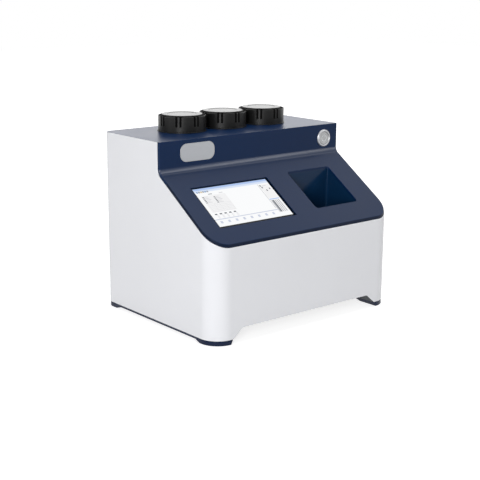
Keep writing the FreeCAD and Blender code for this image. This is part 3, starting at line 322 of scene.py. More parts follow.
def navy_lacquer(name, shown, gloss):
    """Satin lacquer on the moulded cover: darkened on its lip as painted shade, softer on its top,
    glossier in the bend where it runs thick."""
    finish = Finish(name)
    colour = plain(shown)
    cloud = finish.noise(45.0)
    grain = finish.noise(0.7, 2.0)
    across = finish.part_of_place("X")
    run = finish.part_of_place("Y") - FRONT_PLANE * MM
    height = finish.part_of_place("Z")

    def within(field, low, high):
        """One where a field lies between two values in millimetres."""
        return (field > low * MM) * (field < high * MM)

    left, right, front, rear = WELL
    round_well = within(across, left - WELL_MARGIN, right + WELL_MARGIN)
    round_well = round_well * within(run, front - WELL_MARGIN, rear + WELL_MARGIN)
    lift = (height - SLOPE_FOOT * MM) * SLOPE_COS - run * SLOPE_SIN
    # Painted shade: the band just below the slope's surface at the front, which holds the lip and
    # the window's walls, is darkened.
    shaded_lip = (lift < (COVER_PROUD - LIP_DROP) * MM) * (run < LIP_END * MM) * (1.0 - round_well)
    low, high = GLOSSY_BEND
    share = (height - low * MM) / ((high - low) * MM)
    in_bend = 4.0 * share * (1.0 - share) * within(height, low, high) * within(run, *GLOSSY_RUN)
    on_top = height > (TOP - TOP_SKIN) * MM
    lacquer = finish.uneven(colour, 0.94, 1.06, cloud)
    return finish.surface(
        Base_Color=finish.blend(lacquer, (*scaled(colour, LIP_PAINTED_SHADE), 1.0), shaded_lip),
        Roughness=gloss + 0.05 * cloud + 0.15 * shaded_lip + 0.12 * on_top,
        Normal=finish.relief(grain, 0.012, 0.3), Specular_IOR_Level=0.11,
        Coat_Weight=0.72 * in_bend, Coat_Roughness=0.2)


def moulded(name, shown, gloss, grain=0.5, depth=0.02, shine=0.5):
    """Moulded plastic or rubber with a spark-eroded grain."""
    finish = Finish(name)
    colour = plain(shown)
    speckle = finish.noise(grain, 3.0)
    cloud = finish.noise(25.0)
    return finish.surface(
        Base_Color=finish.uneven(colour, 0.88, 1.12, cloud),
        Roughness=gloss + 0.1 * speckle, Normal=finish.relief(speckle, depth, 0.5),
        Specular_IOR_Level=shine)


# Depths in millimetres past which a cap's slots are painted near-black as painted shade and its top
# is polished.
SLOT_SHADE_DEPTH = 0.7
CAP_POLISHED = 0.2
SLOT_PAINTED_SHADE = (0.0004, 0.0004, 0.0004)


def cap_plastic(name, shown, polished_above, polish):
    """Black cap plastic, matt round its grip, painted near-black and dull in its slots as painted
    shade, and polished on its top.
    """
    finish = Finish(name)
    colour = plain(shown)
    speckle = finish.noise(0.35, 3.0)
    cloud = finish.noise(25.0)
    on_top = finish.part_of_place("Z") > polished_above * MM
    pitch = (STATIONS[1] - STATIONS[0]) * MM
    across = finish.part_of_place("X") - (STATIONS[1] * MM - pitch / 2)
    across = finish.node("Math", {"operation": "FLOORED_MODULO"}, {0: across, 1: pitch}) - pitch / 2
    along = finish.part_of_place("Y") - (FRONT_PLANE + STATION_DEPTH) * MM
    reach = across * across + along * along
    # Painted shade: the slots, deeper than the grip, get a near-black colour.
    painted_shade_slot = (reach < ((CAP_RADIUS - SLOT_SHADE_DEPTH) * MM) ** 2) * (1.0 - on_top)
    grip = finish.uneven(colour, 0.88, 1.12, cloud)
    return finish.surface(
        Base_Color=finish.blend(grip, (*SLOT_PAINTED_SHADE, 1.0), painted_shade_slot),
        Roughness=0.34 + 0.06 * speckle - 0.085 * on_top + 0.6 * painted_shade_slot,
        Normal=finish.relief(speckle, 0.006, 0.4),
        Specular_IOR_Level=0.2, Coat_Weight=polish * on_top, Coat_Roughness=0.12)


def metal(name, shown, gloss, stretch=(1.0, 1.0, 1.0), grain=0.5, depth=0.01):
    """Bare metal with a grain drawn out along one axis, as brushing leaves it."""
    finish = Finish(name)
    colour = plain(shown)
    lines = finish.noise(grain, 3.0, stretch)
    return finish.surface(
        Base_Color=finish.uneven(colour, 0.9, 1.08, lines),
        Metallic=1.0, Roughness=gloss + 0.14 * lines, Normal=finish.relief(lines, depth, 0.5))


RINGS_PER_METRE = 3000.0


def turned_metal(name, shown, gloss, centre, axis="Z"):
    """Lathe-turned metal: fine rings about an axis through a centre."""
    finish = Finish(name)
    colour = plain(shown)
    flat = (1.0, 1.0, 0.0) if axis == "Z" else (1.0, 0.0, 1.0)
    local = finish.node("VectorMath", {"operation": "SUBTRACT"},
                        {0: finish.place, 1: tuple(centre)})
    local = finish.node("VectorMath", {"operation": "MULTIPLY"}, {0: local, 1: flat})
    reach = finish.node("VectorMath", {"operation": "LENGTH"}, {0: local}, "Value")
    rings = finish.node("TexNoise", {"noise_dimensions": "1D"},
                        {"W": reach, "Scale": RINGS_PER_METRE, "Detail": 2.0})
    return finish.surface(
        Base_Color=finish.uneven(colour, 0.92, 1.06, rings),
        Metallic=1.0, Roughness=gloss + 0.1 * rings, Normal=finish.relief(rings, 0.01, 0.6))


def glow(name, shown):
    """A lit patch of the screen."""
    finish = Finish(name)
    colour = plain(shown)
    return finish.surface(
        Base_Color=scaled(colour, 0.02), Roughness=0.5, Specular_IOR_Level=0.05,
        Emission_Color=colour, Emission_Strength=0.96)


# --- finishes ---------------------------------------------------------------------------------

WHITE = powder_coat("white_powder_coat", (229, 230, 234))
NAVY = navy_lacquer("navy_lacquer", (5, 34, 70), 0.19)
# The tray's navy is painted lighter than the cover's, as painted light inside the well.
NAVY_TRAY_PAINTED_LIGHT = navy_lacquer("navy_tray_painted_light", (12, 42, 72), 0.13)
NAVY_RAIL = moulded("navy_rail_plastic", (7, 24, 54), 0.2, shine=0.2)
RUBBER = moulded("foot_rubber", (30, 30, 32), 0.75, 0.8, 0.04)
# The base pan is painted dark grey as painted shade for its sheet seen under the arch between the
# legs.
PAN_SHADE_GREY = moulded("pan_painted_shade", (66, 69, 74), 0.5, 1.2, 0.02, 0.3)
GALVANISED = metal("galvanised_steel", (176, 179, 184), 0.35, grain=6.0, depth=0.005)
STAINLESS = metal("stainless_steel", (200, 202, 206), 0.25, (1.0, 1.0, 12.0))
MACHINED = metal("machined_aluminium", (200, 202, 206), 0.3, (12.0, 1.0, 1.0))
NICKEL = metal("nickel_plate", (206, 203, 196), 0.18, (1.0, 12.0, 1.0))
BRASS = metal("plain_brass", (200, 168, 92), 0.3, (1.0, 1.0, 8.0))
SILVER = metal("silver_badge", (153, 155, 159), 0.34, (0.03, 1.0, 1.0), 0.25, 0.004)
CAP_BLACK = cap_plastic("cap_black_plastic", (14, 14, 14), CAP_HIGH - CAP_POLISHED, 0.02)
DISC_BLACK = cap_plastic("cap_disc_plastic", (14, 14, 15), TOP, 0.05)
ACETAL = moulded("white_acetal", (222, 221, 214), 0.4)
FRAME_BLACK = moulded("screen_frame_plastic", (24, 25, 28), 0.5)
MODULE_GREY = moulded("screen_module_case", (70, 72, 76), 0.45)
INLET_BLACK = moulded("inlet_plastic", (24, 24, 26), 0.35)
BOARD_GREEN = moulded("board_green", (30, 84, 56), 0.35)
SEAL_RUBBER = moulded("seal_rubber", (28, 28, 30), 0.5)
POWER_MARK_INK = moulded("power_mark_ink", (206, 208, 210), 0.4)

# Nodes that stay as they are and only get a finish.
DRESSED = {
    "display_module": MODULE_GREY, "display_frame": FRAME_BLACK, "button_nut": STAINLESS,
    "button_switch": FRAME_BLACK, "chamber_block": MACHINED, "block_frame": GALVANISED,
    "gas_manifold": MACHINED, "solenoid_valves": INLET_BLACK, "reference_chamber": STAINLESS,
    "pressure_sensor": STAINLESS, "chamber_tubes": STAINLESS, "gas_tubes": STAINLESS,
    "power_supply": GALVANISED, "controller_board": BOARD_GREEN, "board_standoffs": BRASS,
}
STATION_DRESSED = {"thrust_washer": ACETAL, "seal_ring": SEAL_RUBBER, "sample_cup": MACHINED}


# --- mesh helpers -----------------------------------------------------------------------------


def at(x, depth, z):
    """A point from millimetres: to the right, back from the front plane, and up."""
    return Vector((x * MM, (FRONT_PLANE + depth) * MM, z * MM))


def new_piece(name, mesh, materials):
    """An object at the origin with a finished mesh."""
    for material in materials:
        mesh.materials.append(material)
    piece = bpy.data.objects.new(name, mesh)
    bpy.context.scene.collection.objects.link(piece)
    return piece


def as_made(piece):
    """Takes a piece's modifiers into its mesh."""
    graph = bpy.context.evaluated_depsgraph_get()
    mesh = bpy.data.meshes.new_from_object(piece.evaluated_get(graph))
    piece.modifiers.clear()
    old = piece.data
    piece.data = mesh
    bpy.data.meshes.remove(old)
    return piece


def soften(piece, width, segments=2, limit=35.0):
    """Rounds the sharp edges of a piece and gives its faces even shading."""
    if width:
        bevel = piece.modifiers.new("rounded_edges", "BEVEL")
        bevel.width = width * MM
        bevel.segments = segments
        bevel.limit_method = "ANGLE"
        bevel.angle_limit = math.radians(limit)
        bevel.use_clamp_overlap = True
        as_made(piece)
    piece.data.shade_smooth()
    piece.data.set_sharp_from_angle(angle=math.radians(limit))
    piece.modifiers.new("even_shading", "WEIGHTED_NORMAL").keep_sharp = True
    return as_made(piece)


def mesh_from(name, bm, flat_angle=0.0):
    """Closes a bmesh into a mesh, with its flat faces joined and pointing outwards."""
    bmesh.ops.remove_doubles(bm, verts=bm.verts, dist=1e-6)
    if flat_angle:
        bmesh.ops.dissolve_limit(bm, angle_limit=math.radians(flat_angle),
                                 verts=bm.verts, edges=bm.edges)
    bmesh.ops.recalc_face_normals(bm, faces=bm.faces)
    mesh = bpy.data.meshes.new(name)
    bm.to_mesh(mesh)
    bm.free()
    return mesh


def bridge(bm, columns):
    """Fills between neighbouring columns of vertices, all round."""
    for near, far in zip(columns, columns[1:] + columns[:1]):
        for step in range(len(near) - 1):
            bm.faces.new((near[step], far[step], far[step + 1], near[step + 1]))


def adds_to(piece, node_name):
    """Rides a piece on a node's body."""
    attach(piece, nodes[node_name]["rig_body"])


def stands_for(piece, node_name):
    """Shows a piece in place of a node, on the same body."""
    adds_to(piece, node_name)
    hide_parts(node_name)


def finished_copy(node_name, material, width, segments=2, trim=None):
    """A copy of a node with joined faces, trimmed corners, rounded edges and even shading."""
    bm = bmesh.new()
    bm.from_mesh(nodes[node_name].data)
    mesh = mesh_from(node_name + "_finished", bm, 0.3)
    if trim:
        for vertex in mesh.vertices:
            vertex.co = trim(vertex.co / MM) * MM
    piece = new_piece(node_name + "_finished", mesh, [material])
    soften(piece, width, segments)
    stands_for(piece, node_name)


def dress(node_name, material):
    """Gives a node that stays as it is its finish."""
    data = nodes[node_name].data
    data.materials.clear()
    data.materials.append(material)


# --- repeated pieces --------------------------------------------------------------------------


class Pattern(Graph):
    """A geometry tree for a small part that is repeated, with its sizes as named inputs."""

    family = "GeometryNode"

    def __init__(self, name, **sizes):
        self.name = name
        self.tree = bpy.data.node_groups.new(name, "GeometryNodeTree")
        self.tree.interface.new_socket(
            "Geometry", in_out="OUTPUT", socket_type="NodeSocketGeometry")
        self.values = {}
        for key, value in sizes.items():
            socket = self.tree.interface.new_socket(
                key, in_out="INPUT", socket_type="NodeSocketFloat")
            self.values[socket.identifier] = value * MM
        self.sizes = {key: self.node("NodeGroupInput", output=key) for key in sizes}

    def vector(self, x=0.0, y=0.0, z=0.0):
        """Joins three fields or numbers into a vector."""
        return self.node("ShaderNodeCombineXYZ", None, {0: x, 1: y, 2: z})

    def placed(self, geometry, shift=(0.0, 0.0, 0.0), turn=(0.0, 0.0, 0.0)):
        """Shifts and turns geometry."""
        inputs = {"Geometry": geometry, "Translation": shift, "Rotation": turn}
        return self.node("Transform", None, inputs)

    def repeated(self, part, points, turn, material):
        """Puts the part on the points and gives the plain piece."""
        inputs = {"Points": points, "Instance": part, "Rotation": turn}
        made = self.node("InstanceOnPoints", None, inputs)
        made = self.node("RealizeInstances", None, {"Geometry": made})
        made = self.node("SetMaterial", None, {"Geometry": made, "Material": material})
        self.node("NodeGroupOutput", None, {0: made}, None)
        piece = new_piece(self.name, bpy.data.meshes.new(self.name), [])
        modifier = piece.modifiers.new(self.name, "NODES")
        modifier.node_group = self.tree
        for identifier, value in self.values.items():
            modifier[identifier] = value
        return soften(as_made(piece), 0.0)


# Screws and pads: sizes in millimetres, and shares of a screw's radius and height.
SCREW_RADIUS = 3.0
SCREW_TAPER = 0.3
SCREW_DOME = 0.16
BAR_MIDDLE = 0.52
PAD_SIDE = 18.0
PAD_THICKNESS = 0.4


def panel_screws():
    """Six pan-head screws with cross recesses, each stopped at its own turn."""
    left, right, front, rear, low, high = drawn_box("panel_screws")
    pattern = Pattern("rear_panel_screws", radius=SCREW_RADIUS, height=rear - front,
                      recess=3.4, slot=0.75, spread=right - left - 2 * SCREW_RADIUS,
                      rise=high - low - 2 * SCREW_RADIUS)
    size = pattern.sizes
    blank = pattern.node("MeshCylinder", None, {
        "Vertices": 40, "Side Segments": 6, "Fill Segments": 3, "Radius": size["radius"],
        "Depth": size["height"]})
    place = pattern.node("InputPosition")
    share = pattern.node("ShaderNodeSeparateXYZ", None, {0: place}, "Z") / size["height"] + 0.5
    narrowing = 1.0 - SCREW_TAPER * share * share * share
    reach = pattern.node("ShaderNodeVectorMath", {"operation": "LENGTH"}, {0: place}, "Value")
    dome = size["height"] * share * (SCREW_DOME - SCREW_DOME * reach / size["radius"])
    drawn = pattern.node("ShaderNodeVectorMath", {"operation": "MULTIPLY"},
                         {0: place, 1: pattern.vector(narrowing, narrowing, 1.0 - SCREW_DOME)})
    lifted = pattern.node("ShaderNodeVectorMath", {"operation": "ADD"},
                          {0: drawn, 1: pattern.vector(z=dome)})
    head = pattern.node("SetPosition", None, {"Geometry": blank, "Position": lifted})
    bars = []
    for width, depth in ((size["recess"], size["slot"]), (size["slot"], size["recess"])):
        bar = pattern.node("MeshCube", None, {"Size": pattern.vector(width, depth, size["height"])})
        bars.append(pattern.placed(bar, pattern.vector(z=BAR_MIDDLE * size["height"])))
    head = pattern.node("MeshBoolean", {"operation": "DIFFERENCE"},
                        {"Mesh 1": head, "Mesh 2": bars})
    seat = pattern.vector(y=(0.5 - SCREW_DOME / 2) * size["height"])
    head = pattern.placed(head, seat, (-math.pi / 2, 0.0, 0.0))
    points = pattern.node("MeshGrid", None, {
        "Size X": size["spread"], "Size Y": size["rise"], "Vertices X": 2, "Vertices Y": 3})
    middle = pattern.vector(y=front * MM, z=(low + high) / 2 * MM)
    points = pattern.placed(points, middle, (math.pi / 2, 0.0, 0.0))
    turn = pattern.node("FunctionNodeRandomValue", {"data_type": "FLOAT"},
                        {2: 0.0, 3: math.pi / 2, "Seed": 7}, 1)
    turn = pattern.node("FunctionNodeEulerToRotation", None, {0: pattern.vector(y=turn)})
    stands_for(pattern.repeated(head, points, turn, NICKEL), "panel_screws")


def foot_pads():
    """Four rubber pads with rounded corners under the feet."""
    left, right, front, rear = drawn_box("foot_pads")[:4]
    pattern = Pattern("rubber_foot_pads", side=PAD_SIDE, corner=4.0, thickness=PAD_THICKNESS,
                      spread=right - left - PAD_SIDE, run=rear - front - PAD_SIDE)
    size = pattern.sizes
    outline = pattern.node("CurvePrimitiveQuadrilateral", {"mode": "RECTANGLE"},
                           {"Width": size["side"], "Height": size["side"]})
    outline = pattern.node("FilletCurve", {"mode": "POLY"},
                           {"Curve": outline, "Count": 6, "Radius": size["corner"]})
    sole = pattern.node("FillCurve", {"mode": "NGONS"}, {"Curve": outline})
    inputs = {"Mesh": sole, "Offset Scale": size["thickness"], "Individual": False}
    upper = pattern.node("ExtrudeMesh", {"mode": "FACES"}, inputs)
    under = pattern.node("FlipFaces", None, {"Mesh": sole})
    pad = pattern.node("JoinGeometry", None, {0: [upper, under]})
    pad = pattern.node("MergeByDistance", None, {"Geometry": pad, "Distance": 0.01 * MM})
    points = pattern.node("MeshGrid", None, {
        "Size X": size["spread"], "Size Y": size["run"], "Vertices X": 2, "Vertices Y": 2})
    points = pattern.placed(points, pattern.vector(y=(front + rear) / 2 * MM))
    stands_for(pattern.repeated(pad, points, (0.0, 0.0, 0.0), RUBBER), "foot_pads")


# --- casing -----------------------------------------------------------------------------------


def slope_height(depth, proud=0.0):
    """Height of the slanted panel at a depth, or of a surface proud of it."""
    return SLOPE_FOOT + SLOPE_TANGENT * depth + proud / SLOPE_COS


def arc(start, end, steps):
    """Angles from start to end in degrees, both ends included."""
    return [math.radians(start + (end - start) * step / steps) for step in range(steps + 1)]


SKIRT_STOPS = (LEG_INNER, 140.0, 132.96, 132.2, 131.3, 130.3, 129.3, 128.44, 60.0, 0.0)
LEG_RISE = SKIRT_HEIGHT - FOOT_HEIGHT
LEG_LEAN = math.atan2(LEG_RISE, LEG_SLANT)
FILLET_RUN = LEG_FILLET * math.tan(LEG_LEAN / 2)
FILLET_START = LEG_INNER - LEG_SLANT + FILLET_RUN * math.cos(LEG_LEAN)
FILLET_END = LEG_INNER - LEG_SLANT - FILLET_RUN


def skirt_low(x):
    """Height of the shell's lower edge on the front: leg, slant, rounding and arch."""
    if x >= LEG_INNER:
        return FOOT_HEIGHT
    if x >= FILLET_START:
        return FOOT_HEIGHT + (LEG_INNER - x) * LEG_RISE / LEG_SLANT
    if x > FILLET_END:
        return SKIRT_HEIGHT - LEG_FILLET + math.sqrt(LEG_FILLET ** 2 - (x - FILLET_END) ** 2)
    return SKIRT_HEIGHT


def shell_path():
    """Right half of the shell in plan, from the rear return to the middle of the front.
    Each stop gives the place, the way inwards, and the low and high edge."""
    stops = [(HALF_WIDTH - REAR_RETURN, BODY_DEPTH, 0, -1, FOOT_HEIGHT, TOP)]
    centre = (HALF_WIDTH - REAR_CORNER, BODY_DEPTH - REAR_CORNER)
    for angle in arc(0, 90, CORNER_STEPS):
        sine, cosine = math.sin(angle), math.cos(angle)
        stops.append((centre[0] + REAR_CORNER * sine, centre[1] + REAR_CORNER * cosine,
                      -sine, -cosine, FOOT_HEIGHT, TOP))
    sliver = 0.01
    bend_depth = FACE_SETBACK - BEND_RADIUS
    bend_centre = slope_height(bend_depth) + BEND_RADIUS / SLOPE_COS
    stops.append((HALF_WIDTH, FACE_SETBACK + sliver, -1, 0, FOOT_HEIGHT, TOP))
    for angle in arc(0, 90 - math.degrees(SLOPE_ANGLE), BEND_STEPS):
        stops.append((HALF_WIDTH, bend_depth + BEND_RADIUS * math.cos(angle), -1, 0,
                      FOOT_HEIGHT, bend_centre - BEND_RADIUS * math.sin(angle)))
    for angle in arc(0, 90, CORNER_STEPS):
        sine, cosine = math.sin(angle), math.cos(angle)
        stops.append((HALF_WIDTH - FRONT_CORNER + FRONT_CORNER * cosine,
                      FRONT_CORNER - FRONT_CORNER * sine, -cosine, sine, FOOT_HEIGHT, None))
    for x in SKIRT_STOPS:
        stops.append((x, 0.0, 0, 1, skirt_low(x), None))
    return stops


def outer_shell():
    """White wrap: two walls a sheet apart, closed along every edge."""
    half = shell_path()
    mirrored = [(-x, depth, -inx, iny, low, high) for x, depth, inx, iny, low, high in half]
    stops = half + mirrored[-2::-1]
    bm = bmesh.new()
    rings = []
    for x, depth, inward_x, inward_y, low, high in stops:
        ring = []
        for offset, upper in ((0.0, False), (0.0, True), (SHEET, True), (SHEET, False)):
            spot_depth = depth + inward_y * offset
            edge = slope_height(spot_depth) if high is None else high
            z = edge if upper else low
            ring.append(bm.verts.new(at(x + inward_x * offset, spot_depth, z)))
        rings.append(ring)
    for ring, following in zip(rings, rings[1:]):
        for side in range(4):
            other = (side + 1) % 4
            bm.faces.new((ring[side], following[side], following[other], ring[other]))
    bm.faces.new(rings[0])
    bm.faces.new(rings[-1][::-1])
    mesh = mesh_from("white_shell", bm, 0.05)
    piece = new_piece("white_shell", mesh, [WHITE])
    soften(piece, SHELL_EDGE, 3, 40.0)
    stands_for(piece, "outer_shell")


def rounded_loop(left, right, low, high, radius, steps):
    """A rectangle with rounded corners as (a, b, way out a, way out b), anticlockwise."""
    loop = []
    corners = ((right, low, -90), (right, high, 0), (left, high, 90), (left, low, 180))
    for a, b, start in corners:
        centre_a = a - radius if a == right else a + radius
        centre_b = b - radius if b == high else b + radius
        for angle in arc(start, start + 90, steps):
            way = (math.cos(angle), math.sin(angle))
            loop.append((centre_a + radius * way[0], centre_b + radius * way[1], *way))
    return loop


def round_loop(centre_a, centre_b, radius, steps):
    """A circle as (a, b, way out a, way out b), anticlockwise."""
    loop = []
    for angle in arc(0, 360, steps)[:-1]:
        way = (math.cos(angle), math.sin(angle))
        loop.append((centre_a + radius * way[0], centre_b + radius * way[1], *way))
    return loop


def rim_points(corner, inward, normal, down, radius, steps):
    """Rounding between a wall and a surface, from the wall to the surface, in millimetres."""
    if not radius:
        return [corner]
    drop = radius * (1.0 + inward.dot(normal)) / -down.dot(normal)
    centre = corner + inward * radius + down * drop
    start = -inward
    turn = start.angle(normal)
    points = []
    for step in range(steps + 1):
        share = step / steps
        way = (start * math.sin((1 - share) * turn) + normal * math.sin(share * turn))
        points.append(centre + way / math.sin(turn) * radius)
    return points


def cover_stops(inset, proud, top, edge, crest, flange):
    """Right half of the cover's rim from the front to the rear: corner point, way inwards,
    surface normal, way down the wall, rounding radius and foot of the flange."""
    stops = []

    def stop(corner, inward, normal, down, radius, foot=None):
        foot = foot or corner + down * (flange / -down.dot(normal))
        stops.append((corner, inward, normal, down, radius, foot))

    centre = (HALF_WIDTH - FRONT_CORNER, FRONT_CORNER)
    radius = FRONT_CORNER - inset
    for angle in arc(0, 90, CORNER_STEPS):
        sine, cosine = math.sin(angle), math.cos(angle)
        depth = centre[1] - radius * cosine
        stop(Vector((centre[0] + radius * sine, depth, slope_height(depth, proud))),
             Vector((-sine, cosine, 0)), SLOPE_NORMAL, -UP, edge)
    wall_x = HALF_WIDTH - inset
    inward = Vector((-1, 0, 0))
    face = FACE_SETBACK - proud
    bend = BEND_RADIUS - proud
    bend_depth = face - bend
    bend_height = slope_height(bend_depth, proud) + bend / SLOPE_COS
    for angle in arc(90 - math.degrees(SLOPE_ANGLE), 0, BEND_STEPS):
        way = Vector((0, math.cos(angle), -math.sin(angle)))
        corner = Vector((wall_x, bend_depth, bend_height)) + way * bend
        stop(corner, inward, -way, way, edge)
    mitre = Vector((wall_x, face + flange, top - flange))
    for step, angle in enumerate(arc(0, 90, CREST_STEPS)):
        way = Vector((0, -math.cos(angle), math.sin(angle)))
        corner = Vector((wall_x, face + crest, top - crest)) + way * crest
        share = 1.0 - (1.0 - TOP_EDGE_SHARE) * step / CREST_STEPS
        stop(corner, inward, way, -way, edge * share, mitre)
    centre = (HALF_WIDTH - REAR_CORNER, BODY_DEPTH - REAR_CORNER)
    radius = REAR_CORNER - inset
    for angle in arc(0, 90, CORNER_STEPS):
        sine, cosine = math.sin(angle), math.cos(angle)
        stop(Vector((centre[0] + radius * cosine, centre[1] + radius * sine, top)),
             Vector((-cosine, -sine, 0)), UP, -UP, edge * TOP_EDGE_SHARE)
    return stops


def mirror(stop):
    """The same stop on the left side."""
    flip = Vector((-1, 1, 1))
    return tuple(part * flip if isinstance(part, Vector) else part for part in stop)


def window_outline():
    """The window's stops: corner point, way into the material, surface normal, way down the
    wall and rounding radius. The other openings have the same."""
    outline = []
    for x, along, way_x, way_along in rounded_loop(*WINDOW, WINDOW_CORNER, 3):
        flat = Vector((x, along * SLOPE_COS, SLOPE_FOOT + along * SLOPE_SIN))
        corner = flat + SLOPE_NORMAL * COVER_PROUD
        way = Vector((way_x, way_along * SLOPE_COS, way_along * SLOPE_SIN))
        outline.append((corner, way, SLOPE_NORMAL, -SLOPE_NORMAL, WINDOW_EDGE))
    return outline


def well_outline():
    """The well's stops, its walls upright."""
    outline = []
    for x, depth, way_x, way_y in rounded_loop(*WELL, WELL_CORNER, 8):
        corner = Vector((x, depth, slope_height(depth, COVER_PROUD)))
        outline.append((corner, Vector((way_x, way_y, 0)), SLOPE_NORMAL, -UP, WELL_EDGE))
    return outline


def button_outline():
    """The stops of the power button's hole in the upright face."""
    outline = []
    for x, z, way_x, way_z in round_loop(*BUTTON, BUTTON_HOLE, 48):
        corner = Vector((x, FACE_SETBACK - COVER_PROUD, z))
        outline.append((corner, Vector((way_x, 0, way_z)), FRONT, -FRONT, 0.0))
    return outline


def neck_outline(station):
    """The stops of a station's hole in the top."""
    outline = []
    for x, depth, way_x, way_y in round_loop(station, STATION_DEPTH, NECK_RADIUS, 72):
        outline.append((Vector((x, depth, TOP)), Vector((way_x, way_y, 0)), UP, -UP, 0.0))
    return outline


class Skin:
    """One face of the cover: its rim, its regions between rim and openings, and its flange."""

    def __init__(self, bm, steps, *shape):
        """The shape is what cover_stops takes, the steps are those of its rounding."""
        self.bm = bm
        half = cover_stops(*shape)
        self.stops = half + [mirror(stop) for stop in reversed(half)]
        self.rims = []
        self.flange = []
        for *rim, foot in self.stops:
            self.rims.append([self.vertex(point) for point in rim_points(*rim, steps)])
            self.flange.append(self.vertex(foot))
        self.half = len(half)

    def vertex(self, point):
        """A vertex at a place given in millimetres."""
        return self.bm.verts.new(at(*point))

    def other_side(self, index):
        """The stop that mirrors a stop."""
        return 2 * self.half - 1 - index

    def close_rim(self):
        """Fills the flange and the rounding all round."""
        bridge(self.bm, [[foot] + rim for foot, rim in zip(self.flange, self.rims)])

    def strip(self, first, last):
        """Fills between the two sides from one stop to another."""
        for index in range(first, last):
            left = self.other_side(index)
            left_next = self.other_side(index + 1)
            self.bm.faces.new((self.rims[index][-1], self.rims[index + 1][-1],
                               self.rims[left_next][-1], self.rims[left][-1]))

    def region(self, first, last, holes):
        """Fills a flat region bounded by the stops first to last on both sides."""
        outline = [self.rims[index][-1] for index in range(first, last + 1)]
        outline += [self.rims[self.other_side(index)][-1] for index in range(last, first - 1, -1)]
        loops = [outline] + holes
        flat = [vertex for loop in loops for vertex in loop]
        for triple in tessellate_polygon([[vertex.co for vertex in loop] for loop in loops]):
            self.bm.faces.new([flat[index] for index in triple])


def opening_wall(skin, outline):
    """Walls an opening, and gives its columns of vertices from the inner to the outer face."""
    columns = []
    for corner, inward, normal, down, radius in outline:
        points = rim_points(corner, inward, normal, down, radius, HOLE_RIM_STEPS)
        points.insert(0, corner + down * (COVER_WALL / -down.dot(normal)))
        columns.append([skin.vertex(point) for point in points])
    bridge(skin.bm, columns)
    return columns


def top_cover():
    """Navy cover as an outer and an inner skin joined at the flange and at each opening."""
    bm = bmesh.new()
    outer = Skin(bm, RIM_STEPS, COVER_INSET, COVER_PROUD, TOP, COVER_EDGE, COVER_CREST,
                 COVER_FLANGE)
    inner = Skin(bm, 0, COVER_INSET + COVER_WALL, COVER_PROUD - COVER_WALL, TOP - COVER_WALL, 0,
                 INNER_CREST, COVER_FLANGE - COVER_WALL)
    walls = {
        "slope": [opening_wall(outer, hole) for hole in (window_outline(), well_outline())],
        "face": [opening_wall(outer, button_outline())],
        "top": [opening_wall(outer, neck_outline(x)) for x in STATIONS]}
    bend_start = CORNER_STEPS + 1
    face_start = bend_start + BEND_STEPS
    crest_start = face_start + 1
    top_start = crest_start + CREST_STEPS
    last = outer.half - 1
    for skin, end in ((outer, -1), (inner, 0)):
        loops = {region: [[column[end] for column in wall] for wall in found]
                 for region, found in walls.items()}
        skin.close_rim()
        skin.region(0, bend_start, loops["slope"])
        skin.strip(bend_start, face_start)
        skin.region(face_start, crest_start, loops["face"])
        skin.strip(crest_start, top_start)
        skin.region(top_start, last, loops["top"])
    bridge(bm, list(zip(outer.flange, inner.flange)))
    piece = new_piece("navy_cover", mesh_from("navy_cover", bm), [NAVY])
    soften(piece, 0.0, limit=38.0)
    stands_for(piece, "top_cover")


# --- screen -----------------------------------------------------------------------------------


def on_slope(x, along, lift):
    """A point of the slanted panel: across, up the slope from its foot, and off the surface."""
    lift = lift + COVER_PROUD
    return at(x, along * SLOPE_COS - lift * SLOPE_SIN,
              SLOPE_FOOT + along * SLOPE_SIN + lift * SLOPE_COS)


LIT = (-147.1, -3.4, 41.9, 122.5)
PAGE_LIFT = 0.05 - COVER_WALL
LAYER_LIFT = 0.02
PAGE_COLOURS = {
    "page": (251, 252, 253), "bar": (178, 201, 240), "bar_pale": (218, 229, 248),
    "panel": (243, 243, 244), "line": (214, 214, 218), "ink": (112, 116, 122),
    "grey": (156, 160, 166), "lilac": (204, 210, 226), "blue": (138, 164, 202),
    "amber": (216, 194, 150)}


class ScreenPage:
    """The page on the screen: flat lit patches, placed by shares of the lit area."""

    def __init__(self):
        self.bm = bmesh.new()

    def patch(self, colour, left, upper, width, height, layer=1):
        """One patch from its upper left corner. A higher layer lies nearer."""
        left_end, right_end, low, high = LIT
        corners = []
        for across, down in ((0, 1), (1, 1), (1, 0), (0, 0)):
            x = left_end + (right_end - left_end) * (left + width * across)
            along = high + (low - high) * (upper + height * down)
            corners.append(self.bm.verts.new(on_slope(x, along, PAGE_LIFT + LAYER_LIFT * layer)))
        self.bm.faces.new(corners).material_index = list(PAGE_COLOURS).index(colour)

    def row(self, colours, left, upper, width, height, pitch, layer=1):
        """Equal patches side by side, one for each colour."""
        for place, colour in enumerate(colours):
            self.patch(colour, left + place * pitch, upper, width, height, layer)

    def column(self, colours, left, upper, width, height, pitch, layer=1):
        """Equal patches one below the other, one for each colour."""
        for place, colour in enumerate(colours):
            self.patch(colour, left, upper + place * pitch, width, height, layer)


def title_bar(page):
    """The white page with its head and tools."""
    page.patch("page", 0.0, 0.0, 1.0, 1.0, 0)
    page.patch("bar", 0.0, 0.0, 1.0, 0.05)
    page.patch("bar_pale", 0.0, 0.05, 1.0, 0.05)
    page.row(("blue", "grey", "amber", "grey", "blue", "grey"), 0.02, 0.075, 0.02, 0.04, 0.027, 2)


